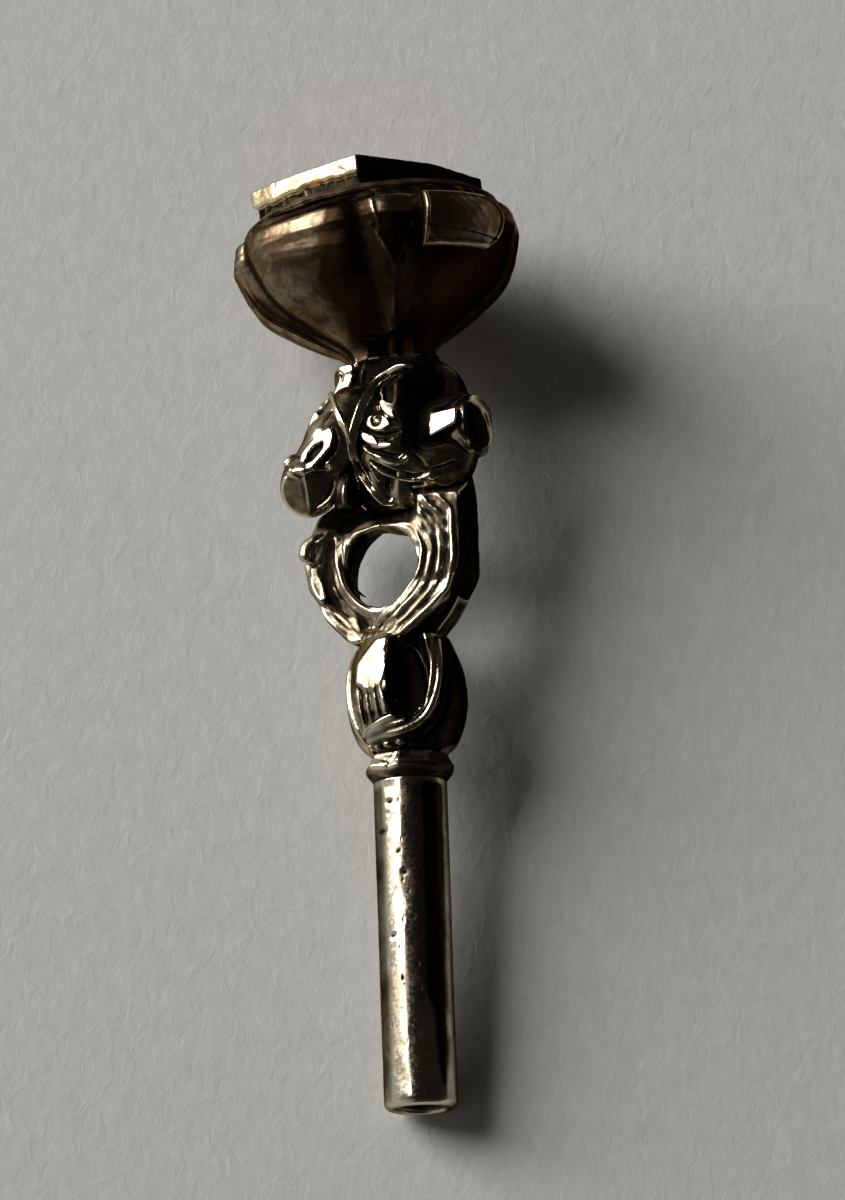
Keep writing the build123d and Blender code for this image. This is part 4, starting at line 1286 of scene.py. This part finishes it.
BULB_CORE = [(1.35, 15.45), (1.85, 16.2), (2.12, 17.2), (2.15, 18.2), (1.95, 19.25), (1.55, 20.15), (1.15, 20.60)]
BULB_SKIN = [(1.62, 15.45), (2.18, 16.0), (2.55, 17.0), (2.66, 18.1), (2.52, 19.15), (2.22, 20.0), (1.95, 20.60)]
_b0 = smooth_line([(r, z, 0.0) for r, z in BULB_CORE], 0.05)
_b1 = smooth_line([(r, z, 0.0) for r, z in BULB_SKIN], 0.05)


def bulb_fields():
    lo, hi = (-3.0, -3.0, 15.2), (3.0, 3.1, 21.0)
    core = Field(lo, hi)

    def core_d(x, y, z):
        r = np.interp(z, _b0[:, 1], _b0[:, 0]) - 0.04
        return np.maximum((np.sqrt(x * x + y * y) - r) * 0.9, np.abs(z - 18.02) - 2.55)
    core.add(core_d)

    def leaf(az0, az1, low, seed, fan):
        f = Field(lo, hi)
        n = wobble(seed, 1.3)

        def d(x, y, z):
            q = np.sqrt(x * x + y * y)
            az = np.degrees(np.arctan2(x, y))
            r1 = np.interp(z, _b1[:, 1], _b1[:, 0]) - 0.03
            r0 = np.interp(z, _b0[:, 1], _b0[:, 0]) - 0.02
            mid = (az0(z) + az1(z)) / 2
            half = (az1(z) - az0(z)) / 2
            off = (az - mid + 180) % 360 - 180
            edge = (np.abs(off) - half) * math.pi / 180 * q
            t = np.clip(-edge, 0, 3)
            # at the back the leaf has a shallow trough inside its rolled edge, and veins
            behind = np.clip(-y / 0.8, 0, 1)
            bead = -0.10 * np.exp(-((t - 0.50) / 0.26) ** 2) * behind
            lines = fan * (0.5 + 0.5 * np.cos(2 * math.pi * (off + 9 * np.sin(z * 0.9) + 4 * n(x, y, z)) / 15.0)) * np.clip((t - 0.55) / 0.4, 0, 1) * behind
            v = smax((q - r1 - bead + lines) * 0.95, edge, 0.14)
            v = smax(v, r0 - q, 0.03)
            v = smax(v, low(az) - z, 0.10)
            return smax(v, z - 20.62, 0.05) - 0.012 * n(x * 1.7, y * 1.7, z * 1.7)
        f.add(d)
        return f
    left = leaf(lambda z: -152 + 0 * z, lambda z: np.interp(z, [17.2, 17.6, 18.4, 19.5, 20.6], [2.0, -1.0, -11.0, -17.0, -19.0]),
                lambda az: np.interp(az, [-180, -90, -75, -55, -38, -14, 0, 10], [15.5, 15.5, 15.7, 16.2, 16.62, 17.12, 17.5, 17.6]), 62, 0.10)
    right = leaf(lambda z: np.interp(z, [16.4, 16.75, 16.95, 17.15, 17.5, 18.2, 19.0, 20.3], [-62.0, -32.0, -15.0, 3.0, 15.0, 21.5, 23.5, 24.0]),
                 lambda z: 172 + 0 * z, lambda az: 15.46 + 0 * az, 63, 0.08)
    return core, left, right


def carve_bulb(core, left, right, others):
    all3 = [core, left, right]
    # the dark hollow between the leaves
    c = on_plane(408, 677, 2.30)
    for f in all3:
        f.cut(egg(c, (0.90, 1.30, 1.75), axes_of((1, 0, 0.10), (-0.10, 0, 1))), k=0.08)
        f.cut(egg(on_plane(405, 655, 2.3), (0.80, 1.1, 0.85), axes_of((1, 0, 0.3), (-0.3, 0, 1))), k=0.08)
        f.cut(egg(on_plane(401, 697, 2.3), (0.62, 0.9, 0.80), axes_of((1, 0, -0.5), (0.5, 0, 1))), k=0.08)
    # bright rolled rim of the left leaf down the outline, and a trough inside it
    for f in (left,):
        ridge(f, [(357, 652), (351.5, 668), (349.5, 690), (351.5, 710), (357, 727), (366, 742), (375, 750)], 0.17, 0.13, 0.05, on=[left, right])
        groove(f, [(361, 664), (359, 684), (361, 706), (367, 725)], 0.12, 0.15, 0.06, on=[left])
    # fan of fine ribs
    for line, w in (
            ([(362, 688), (363, 706), (368, 728)], 0.06),
            ([(368.5, 686), (371, 704), (375, 724)], 0.06),
            ([(376, 686), (379, 702), (383, 719)], 0.06),
            ([(383, 688), (387.5, 700), (393, 715)], 0.06)):
        groove(left, line, w, w * 1.4, 0.04, on=all3)
    for line, w, h in (
            ([(359, 686), (360, 707), (365.5, 731)], 0.06, 0.06),
            ([(365.5, 687), (367.5, 706), (372, 726)], 0.055, 0.06),
            ([(372.5, 686), (375.5, 702), (379.5, 721)], 0.055, 0.06),
            ([(380, 687), (384, 701), (388.5, 717)], 0.055, 0.06),
            ([(386.5, 686), (392, 700), (399, 712)], 0.055, 0.06)):
        ridge(left, line, w, h, 0.03, on=all3)
    # the right leaf's rolled edge: a double line that swings down and to the left under the left leaf
    band = traced(all3, [(437, 641), (437, 662), (435.5, 680), (432, 697), (425, 712), (411, 724), (396, 731), (381, 735), (368, 741)], even=12)
    right.path(band - TOWARDS * 0.10, [0.20, 0.25, 0.25, 0.25, 0.25, 0.24, 0.22, 0.18, 0.10], k=0.05)
    ridge(right, [(431.5, 641), (432, 662), (430.5, 680), (427, 696), (419, 710), (405, 720), (388, 726), (372, 732.5)], 0.07, 0.09, 0.03, on=all3)
    ridge(right, [(442, 641), (441.5, 662), (440, 680), (436.5, 698), (430, 712), (418, 725), (402, 733), (386, 738.5)], 0.07, 0.09, 0.03, on=all3)
    groove(right, [(437, 648), (436.5, 664), (435, 681), (431, 697), (423.5, 712), (411, 722.5), (396, 729)], 0.055, 0.09, 0.03, on=all3)
    # the smooth swollen side of the right leaf, with a few worn places
    ridge(right, [(449, 652), (452, 664), (454, 680)], 0.07, 0.06, 0.04, on=[right])
    right.add(ball(hit(all3, 457, 684) - TOWARDS * 0.04, 0.14), k=0.05)
    groove(right, [(446, 660), (449, 684), (446, 706), (437, 724), (422, 736)], 0.10, 0.10, 0.08, on=[right])
    # little bosses between the leaves and the collar
    for x, y, r in ((379, 747, 0.17), (389, 744, 0.21), (401, 741.5, 0.22), (413, 743, 0.20), (425, 743, 0.18), (436, 741, 0.15)):
        right.add(egg(hit(all3, x, y) - TOWARDS * 0.06, (r * 1.3, r, r * 0.8)), k=0.04)
    return core, left, right


def strand_tail(left, right_strand):
    """The front strand's end spreads over the left leaf."""
    v = hit([left], 373, 664)[1]
    facet(left, [(376, 637), (396, 636), (392, 652), (385, 668), (383, 688), (366, 690), (355, 681), (356, 662), (366, 648)], v + 0.10, k=0.13, plate=0.8)
    for line in ([(392, 640), (380, 656), (373, 672), (371, 692)], [(384, 640), (370, 657), (364, 672), (362, 688)], [(381, 676), (383, 696)], [(367, 674), (368, 694)], [(375, 670), (377, 694)]):
        groove(left, line, 0.05, 0.045, 0.04, on=[left])
    for line in ([(373, 652), (366, 666), (362, 684)], [(381, 654), (375, 669), (371, 685)], [(389, 654), (384, 670), (380, 685)]):
        ridge(left, line, 0.06, 0.05, 0.04, on=[left])
    return left


def make_figure():
    core = core_field()
    rh = right_head_field()
    lh = left_head_field()
    sr, sl = strand_fields()
    carve_right_strand(sr)
    carve_left_strand(sl)
    carve_right_head(rh, [rh])
    carve_left_head(lh)
    # the right-hand mane band: from the crown down to the left, round under the chin, with a curled tip
    scene_all = [core, rh, lh, sr, sl]
    rb = Field((-3.3, -0.6, 26.2), (1.4, 3.9, 33.6))
    line = [(410, 366.5), (400, 367), (388, 374), (378, 381.5), (371, 391.5), (364, 402), (359, 414), (354.5, 428), (351.5, 440),
            (353, 453), (358, 466), (364.5, 478), (372, 488.5), (380, 497.5), (387, 503.5), (392, 503.5), (393.5, 499)]
    p = traced(scene_all, line, even=8)
    rb.path(p - TOWARDS * 0.04, [0.15, 0.20, 0.23, 0.25, 0.26, 0.26, 0.25, 0.23, 0.21, 0.18, 0.13], k=0.0)
    edge = [(x - 3.0, y - 1.2) for x, y in line[:9]] + [(x - 3.4, y + 1.0) for x, y in line[9:15]]
    q = traced([rb] + scene_all, edge, even=6)
    rb.path(q + TOWARDS * 0.03, 0.085, k=0.03)
    inner = [(x + 3.2, y + 1.5) for x, y in line[2:9]] + [(x + 3.0, y - 1.6) for x, y in line[9:14]]
    q = traced([rb] + scene_all, inner, even=6)
    rb.path(q + TOWARDS * 0.0, 0.06, k=0.03)
    lb = Field((-4.0, -0.6, 26.4), (-0.6, 3.9, 32.9))
    line2 = [(330, 393.5), (333.5, 402), (338, 414), (342.5, 424), (347, 434), (349.5, 443), (351, 455), (353.5, 468), (356, 480), (358, 493), (360, 504), (367, 508.5)]
    p2 = traced(scene_all, line2, even=8)
    lb.path(p2 - TOWARDS * 0.06, [0.10, 0.16, 0.20, 0.21, 0.20, 0.17, 0.15, 0.15, 0.13], k=0.0)
    q2 = traced([lb] + scene_all, [(x + 1.0, y - 1.2) for x, y in line2[:6]], even=4)
    lb.path(q2 + TOWARDS * 0.03, 0.075, k=0.03)
    # strands of hair in the gap between the two bands, above their crossing
    for l in ([(352, 372), (349, 388), (347.5, 404), (348.5, 422)], [(357, 372), (355, 388), (353, 402), (352, 416)], [(363, 371), (361, 383), (358.5, 395)]):
        ridge(core, l, 0.08, 0.08, 0.05, on=[core])
    # a curled lock under the crossing
    ridge(core, [(355, 476), (356.5, 490), (359, 503), (368, 508)], 0.12, 0.12, 0.05, on=[core])
    ridge(core, [(346, 480), (344, 492), (345, 504)], 0.12, 0.12, 0.05, on=[core])
    return core, rh, lh, sr, sl, rb, lb


def figure_pieces():
    core, rh, lh, sr, sl, rb, lb = make_figure()
    bc, bl, br = bulb_fields()
    carve_bulb(bc, bl, br, [sr, sl])
    strand_tail(bl, sr)
    for f in (core, rh, lh, sr, sl, rb, lb, bc, bl, br):
        keep_big(f)
    # the zones below are outlined in the camera's view: painted shade where the front lies in shadow or mirrors dark
    # surroundings, and, where the amount is negative, painted highlight
    carve("vis_figure_core", core, "figure_core", GILT_FIGURE, darkening=shaded_and_stained([
        (0.9, 8, [(346, 400), (356, 372), (374, 366), (380, 380), (362, 402), (353, 432)]),
        (0.8, 10, [(328, 472), (350, 452), (372, 480), (394, 505), (384, 524), (328, 524)]),
        (1.0, 8, [(364, 336), (444, 340), (444, 376), (395, 372), (372, 378), (362, 362)])]))
    carve("vis_right_hound_head", rh, "right_hound_head", GILT_FIGURE,
          darkening=shaded_and_stained([
              (1.35, 20, [(381, 382), (390, 370), (404, 363), (420, 363), (432, 370), (438, 382), (437, 394), (428, 404), (421, 414), (420, 430),
                          (423, 442), (419, 455), (406, 450), (399, 436), (396, 420), (390, 406), (382, 396)]),
              (0.45, 16, [(426, 362), (446, 370), (462, 386), (468, 402), (440, 402), (426, 398)]),
              (-0.9, 3, [(471, 396), (480, 401), (489, 414), (494, 431), (494, 447), (488, 453), (489, 440), (487, 425), (481, 412), (472, 403)]),
              (1.2, 5, [(464, 402), (478, 406), (486, 424), (487, 443), (478, 448), (464, 432)]),
              (0.35, 8, [(424, 440), (460, 440), (466, 478), (436, 484), (428, 462)])]))
    carve("vis_left_hound_head", lh, "left_hound_head", GILT_FIGURE)
    carve("vis_right_mane_band", rb, "right_mane_band", GILT_FIGURE, high=0.18)
    carve("vis_left_mane_band", lb, "left_mane_band", GILT_FIGURE, high=0.18)
    carve("vis_right_loop_strand", sr, "right_loop_strand", GILT_STRAND, darkening=shaded_and_stained([
        (1.2, 4, [(455.5, 496), (477, 496), (477, 600), (450, 600), (455.5, 580)]),
        (1.2, 6, [(452, 599), (474, 596), (462, 640), (430, 654), (393, 662), (404, 637), (430, 613)])]))
    carve("vis_left_loop_strand", sl, "left_loop_strand", GILT_STRAND, darkening=shaded_and_stained([
        (1.0, 8, [(335, 474), (420, 490), (414, 517), (360, 522), (345, 534), (316, 530), (308, 512)]),
        (0.9, 5, [(347, 530), (365, 526), (366, 602), (352, 590)]),
        (1.0, 4, [(314, 616), (332, 622), (347, 632), (352, 650), (336, 642)])]))
    # painted shade in the hollow between the leaves
    hollow_shade_zone = (1.7, 4, [(390, 640), (429, 638), (431, 660), (429, 690), (424, 712), (405, 720), (391, 714), (384, 695), (385, 668)])
    carve("vis_bulb_core", bc, "bulb_core", GILT_FIGURE, darkening=shaded_and_stained([hollow_shade_zone]))
    carve("vis_left_tail_leaf", bl, "left_tail_leaf", GILT_FIGURE, darkening=shaded_and_stained([
        hollow_shade_zone, (0.45, 8, [(357, 691), (384, 689), (398, 712), (384, 724), (366, 733), (357, 710)]), (0.55, 6, [(356, 712), (400, 706), (440, 745), (372, 752)])]))
    carve("vis_right_tail_leaf", br, "right_tail_leaf", GILT_FIGURE, darkening=shaded_and_stained([
        hollow_shade_zone, (1.1, 6, [(445, 636), (472, 640), (478, 700), (464, 738), (430, 754), (404, 746), (436, 718), (443, 690)]),
        (0.75, 6, [(358, 708), (400, 712), (428, 718), (440, 745), (440, 754), (370, 754), (352, 726)])]))


# ---------------------------------------------------------------------------
# Collar, pipe, socket.
# ---------------------------------------------------------------------------
def make_collar():
    f = Field((-2.2, -2.2, 14.1), (2.2, 2.2, 16.0))
    un = wobble(71, 0.7)

    def d(x, y, z):
        az = np.arctan2(x, y)
        face = (az + 0.30 + 0.05 * np.sin(az * 2)) % (math.pi / 4) - math.pi / 8
        q = np.sqrt(x * x + y * y)
        flat = q * np.cos(face)
        flare = np.interp(z, [14.30, 14.50, 14.70, 14.88, 15.00, 15.25, 15.45], [1.60, 1.72, 1.90, 1.90, 1.80, 1.67, 1.62])
        k = np.clip((z - 14.75) / 0.12, 0, 1)
        dd = (1 - k) * (q - flare) + k * (flat - flare)
        dd = smax(dd, np.abs(z - 14.875) - 0.575, 0.06)
        return dd - 0.012 * un(x, y, z)
    f.add(d)
    groove(f, [(373, 757), (384, 760), (398, 762), (415, 762), (433, 761), (446, 757)], 0.06, 0.07, 0.04)
    groove(f, [(398, 749), (394, 757), (386, 768)], 0.07, 0.08, 0.04)
    ridge(f, [(366, 770), (380, 774), (400, 776), (425, 775), (450, 769)], 0.09, 0.04, 0.05)
    f.cut(lambda x, y, z: np.sqrt(x * x + y * y) - 1.005)
    keep_big(f)
    # painted shade on the lower collar, outlined in the camera's view
    carve("vis_collar_ring", f, "collar_ring", GILT, darkening=shaded_and_stained([
        (0.95, 8, [(386, 770), (400, 760), (420, 756), (456, 750), (464, 772), (458, 792), (384, 792)]),
        (0.55, 6, [(362, 768), (386, 770), (384, 790), (362, 788)])]))


def make_pipe():
    n = 300
    az = np.arange(n)[:, None] * 2 * math.pi / n
    lip = [(1.12, 11.0), (1.12, 6.0), (1.12, 1.5), (1.12, 0.22), (1.16, 0.08), (1.26, 0.0)]
    lip += [(1.26 + 0.34 * math.sin(t), 0.34 - 0.34 * math.cos(t)) for t in np.linspace(0.2, math.pi / 2, 9)]
    k = 170
    zs = np.linspace(0.34, 14.30, k)
    r = np.concatenate([[a for a, _ in lip], np.full(k, 1.60)[1:], [1.3, 1.12]])
    z = np.concatenate([[b for _, b in lip], zs[1:], [14.30, 14.28]])
    r = r[None, :] + 0 * az
    z = z[None, :] + 0 * az
    out = np.clip((r - 1.3) / 0.3, 0, 1) * np.clip((14.2 - z) / 0.3, 0, 1)
    # slight unroundness, dents and a worn mouth
    d = 0.012 * np.sin(2 * az + 0.35 * z) + 0.008 * np.sin(5 * az - 0.8 * z + 1) + 0.006 * np.sin(9 * az + 2.3 * z) * np.sin(1.7 * z)
    rs = np.random.RandomState(5)
    hollow = np.zeros_like(r)
    for i in range(150):
        a0 = rs.uniform(-math.pi, math.pi)
        z0 = rs.uniform(0.6, 14.0)
        if i < 26:
            a0, z0 = rs.normal(-0.30, 0.22), rs.uniform(3.0, 13.6)
        w = rs.uniform(0.02, 0.055)
        da = ((az - a0 + math.pi) % (2 * math.pi) - math.pi) * 1.6
        g = np.exp(-(da ** 2 + ((z - z0) * rs.uniform(0.5, 1.0)) ** 2) / w ** 2)
        d = d - g * rs.uniform(0.008, 0.022)
        hollow = np.maximum(hollow, g * rs.uniform(0.2, 0.8))
    # the pits that show in front
    for px, py, w, long in ((393, 935, 0.085, 1.6), (402.5, 978, 0.11, 0.8), (418.5, 964, 0.10, 0.8), (420.5, 988, 0.10, 0.9), (414, 917, 0.07, 1.2),
                            (425, 1000, 0.08, 1.0), (381, 829, 0.15, 2.2), (389, 801, 0.09, 1.8), (398, 851, 0.06, 1.5), (404, 872, 0.10, 1.4)):
        q = on_plane(px, py, 1.45)
        a0, z0 = math.asin(max(min(q[0] / 1.6, 0.99), -0.99)), q[2]
        da = ((az - a0 + math.pi) % (2 * math.pi) - math.pi) * 1.6
        g = np.exp(-((da / long) ** 2 + (z - z0) ** 2) / w ** 2)
        d = d - 0.05 * g
        hollow = np.maximum(hollow, g)
    for a0, z0, la, lz, dp in ((-0.35, 9.0, 0.30, 0.8, 0.025), (0.3, 4.0, 0.4, 1.2, 0.02), (2.0, 8.0, 0.5, 1.5, 0.03), (-2.4, 3.0, 0.4, 1.0, 0.03), (-0.8, 12.2, 0.25, 0.5, 0.02)):
        da = ((az - a0 + math.pi) % (2 * math.pi) - math.pi)
        d = d - dp * np.exp(-(da / la) ** 2 - ((z - z0) / lz) ** 2)
    d = d - 0.03 * np.clip(np.sin(az * 3 + 0.6) * np.sin(az * 5), 0, 1) * np.exp(-(z / 0.4) ** 2)
    r = r + np.minimum(d, 0.0) * out - 0.004 * out
    hollow = hollow * out + 0.8 * np.exp(-((z - 14.25) / 0.16) ** 2) * out + 0.5 * np.clip((1.20 - r) / 0.08, 0, 1)
    p, faces, bend = ring_mesh(r, z)
    p = floor_limit(p, 0.002)
    # painted shade and painted dark reflection: darker on the right half and at the left edge, except a thin light line
    # down the right edge; zones outlined in the camera's view darken strips in front and lighten the open end
    zones = [(1.1, 9, [(424, 764), (441, 764), (442.5, 900), (444.5, 1000), (446, 1060), (444, 1084), (440, 1060), (436, 1010), (430, 990), (428, 900)]),
             (0.22, 10, [(398, 766), (424, 766), (428, 1000), (400, 1000)]),
             (-0.25, 12, [(406, 1010), (436, 1010), (440, 1085), (410, 1085)]),
             (0.10, 8, [(371, 820), (384, 820), (389, 1000), (381, 1000)])]
    dark = zones_at(p.reshape(-1, 3), zones).reshape(r.shape) * (p[..., 1] > 0) * out
    new_piece("vis_pipe_tube", p.reshape(-1, 3), faces, "pipe_tube", GILT_PIPE, np.clip(hollow, 0, 1).ravel(), np.clip(np.exp(-(z / 0.25) ** 2) * out, 0, 1).ravel(),
              ((np.clip((-np.sin(az) - 0.66) / 0.16, 0, 1) * 0.60 + np.clip((np.sin(az) + 0.16) / 0.25, 0, 1) * 0.42 * np.clip((0.90 - np.sin(az)) / 0.08, 0.15, 1)) * out + dark).clip(0, 1.6).ravel())


def steel():
    t = Tree("blackened_steel")
    n1, n2 = t.noise(1800, 4, 0.6), t.noise(6000, 3, 0.6)
    col = t.mix(t.span(n1, 0.4, 0.65), (0.10, 0.092, 0.085), (0.045, 0.030, 0.022))
    col = t.mix(t.span(n2, 0.56, 0.70), col, (0.22, 0.10, 0.045))
    t.link(col, t.bsdf.inputs["Base Color"])
    t.link(t.span(n2, 0.4, 0.7, 0.9, 0.35), t.bsdf.inputs["Metallic"])
    t.link(t.span(n1, 0.3, 0.7, 0.35, 0.62), t.bsdf.inputs["Roughness"])
    t.link(t.bump(n2, 0.5, 0.00002), t.bsdf.inputs["Normal"])
    return t.mat


def stone():
    t = Tree("carnelian_stone")
    bands = t.noise(1.0, 3, 0.5, 0.4, t.stretched((260, 900, 300), (0.2, 0.3, 0.5)))
    cloud = t.noise(700, 5, 0.6)
    col = t.mix(t.span(bands, 0.35, 0.65), (0.30, 0.052, 0.020), (0.52, 0.145, 0.045))
    col = t.mix(t.span(cloud, 0.52, 0.75, 0.0, 0.6), col, (0.13, 0.022, 0.012))
    t.link(col, t.bsdf.inputs["Base Color"])
    t.link(t.span(cloud, 0.3, 0.8, 0.06, 0.20), t.bsdf.inputs["Roughness"])
    t.bsdf.inputs["IOR"].default_value = 1.54
    t.bsdf.inputs["Subsurface Weight"].default_value = 0.0
    t.link(t.bump(t.noise(2600, 2, 0.5), 0.10, 0.00001), t.bsdf.inputs["Normal"])
    return t.mat


def cement():
    t = Tree("setting_cement")
    n1 = t.noise(2500, 4, 0.6)
    t.link(t.mix(t.span(n1, 0.35, 0.7), (0.10, 0.055, 0.035), (0.035, 0.020, 0.013)), t.bsdf.inputs["Base Color"])
    t.link(t.span(n1, 0.3, 0.7, 0.6, 0.9), t.bsdf.inputs["Roughness"])
    t.link(t.bump(n1, 0.6, 0.00003), t.bsdf.inputs["Normal"])
    return t.mat


def dress_cad(node, material):
    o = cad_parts[node]
    o.data.materials.clear()
    o.data.materials.append(material)


make_cup()
make_cartouche()
make_rim()
make_seat()
figure_pieces()
make_collar()
make_pipe()
dress_cad("steel_socket", steel())
dress_cad("seal_stone", stone())
dress_cad("stone_cement", cement())
dress_cad("stem_tenon", GILT)
dress_cad("neck_rivet", GILT)

# ---------------------------------------------------------------------------
# White paper, light and surroundings.
# ---------------------------------------------------------------------------
def paper():
    t = Tree("white_paper")
    n1 = t.noise(900, 4, 0.6)
    n2 = t.noise(1.0, 4, 0.6, 0.8, t.stretched((1300, 900, 1100), (0, 0, 0.6)))
    col = t.mix(t.span(n1, 0.3, 0.7), (0.775, 0.775, 0.765), (0.825, 0.825, 0.815))
    t.link(col, t.bsdf.inputs["Base Color"])
    t.bsdf.inputs["Roughness"].default_value = 0.92
    t.bsdf.inputs["Specular IOR Level"].default_value = 0.12
    n = t.bump(n2, 0.30, 0.00013)
    n = t.bump(t.noise(3600, 3, 0.6), 0.22, 0.00003, n)
    t.link(n, t.bsdf.inputs["Normal"])
    return t.mat


me = bpy.data.meshes.new("paper")
s = 0.55
me.from_pydata([(-s, -s, 0), (s, -s, 0), (s, s, 0), (-s, s, 0)], [], [(0, 1, 2, 3)])
me.materials.append(paper())
floor = bpy.data.objects.new("paper", me)
scene.collection.objects.link(floor)


def lamp(name, where, size, power, colour, aim=(0, 0, 0.003)):
    d = bpy.data.lights.new(name, "AREA")
    d.shape = "RECTANGLE"
    d.size, d.size_y = size
    d.energy = power
    d.color = colour
    o = bpy.data.objects.new(name, d)
    z = np.array(where, float) - np.array(aim, float)
    z /= np.linalg.norm(z)
    x = np.cross([0, 0, 1.0], z)
    x /= np.linalg.norm(x)
    y = np.cross(z, x)
    m = np.eye(4)
    m[:3, 0], m[:3, 1], m[:3, 2], m[:3, 3] = x, y, z, where
    o.matrix_world = mathutils.Matrix([list(r) for r in m])
    scene.collection.objects.link(o)
    return o


lamp("window_light", (-0.576, 0.290, 0.387), (0.42, 0.70), 5.35, (1.0, 0.99, 0.965))

world = bpy.data.worlds.new("room")
scene.world = world
world.use_nodes = True
nt = world.node_tree
nt.nodes.clear()
out = nt.nodes.new("ShaderNodeOutputWorld")
bg = nt.nodes.new("ShaderNodeBackground")
tc = nt.nodes.new("ShaderNodeTexCoord")
sep = nt.nodes.new("ShaderNodeSeparateXYZ")
nt.links.new(tc.outputs["Generated"], sep.inputs[0])


def ramp_of(stops):
    r = nt.nodes.new("ShaderNodeValToRGB")
    nt.links.new(sep.outputs["Z"], r.inputs[0])
    for i, (pos, c) in enumerate(stops):
        e = r.color_ramp.elements[i] if i < 2 else r.color_ramp.elements.new(pos)
        e.position = pos
        e.color = (*c, 1)
    return r.outputs[0]


dark = ramp_of([(0.0, (0.045, 0.042, 0.037)), (1.0, (0.013, 0.0115, 0.0095)), (0.18, (0.028, 0.025, 0.021)), (0.45, (0.017, 0.0150, 0.0125))])
light = ramp_of([(0.0, (0.42, 0.41, 0.39)), (1.0, (0.022, 0.019, 0.016)), (0.25, (0.40, 0.385, 0.355)), (0.55, (0.24, 0.22, 0.195)), (0.80, (0.045, 0.039, 0.032))])
side = nt.nodes.new("ShaderNodeMapRange")
side.interpolation_type = "SMOOTHSTEP"
nt.links.new(sep.outputs["X"], side.inputs["Value"])
side.inputs["From Min"].default_value = -0.15
side.inputs["From Max"].default_value = -0.85
blend = nt.nodes.new("ShaderNodeMix")
blend.data_type = "RGBA"
nt.links.new(side.outputs[0], blend.inputs[0])
nt.links.new(dark, blend.inputs[6])
nt.links.new(light, blend.inputs[7])
seen = nt.nodes.new("ShaderNodeLightPath")
wall = nt.nodes.new("ShaderNodeMix")
wall.data_type = "RGBA"
nt.links.new(seen.outputs["Is Camera Ray"], wall.inputs[0])
nt.links.new(blend.outputs[2], wall.inputs[6])
wall.inputs[7].default_value = (0.46, 0.46, 0.45, 1.0)
nt.links.new(wall.outputs[2], bg.inputs["Color"])
nt.links.new(bg.outputs[0], out.inputs[0])
bg.inputs["Strength"].default_value = 1.0
scene.view_settings.view_transform = "Standard"
scene.view_settings.look = "None"
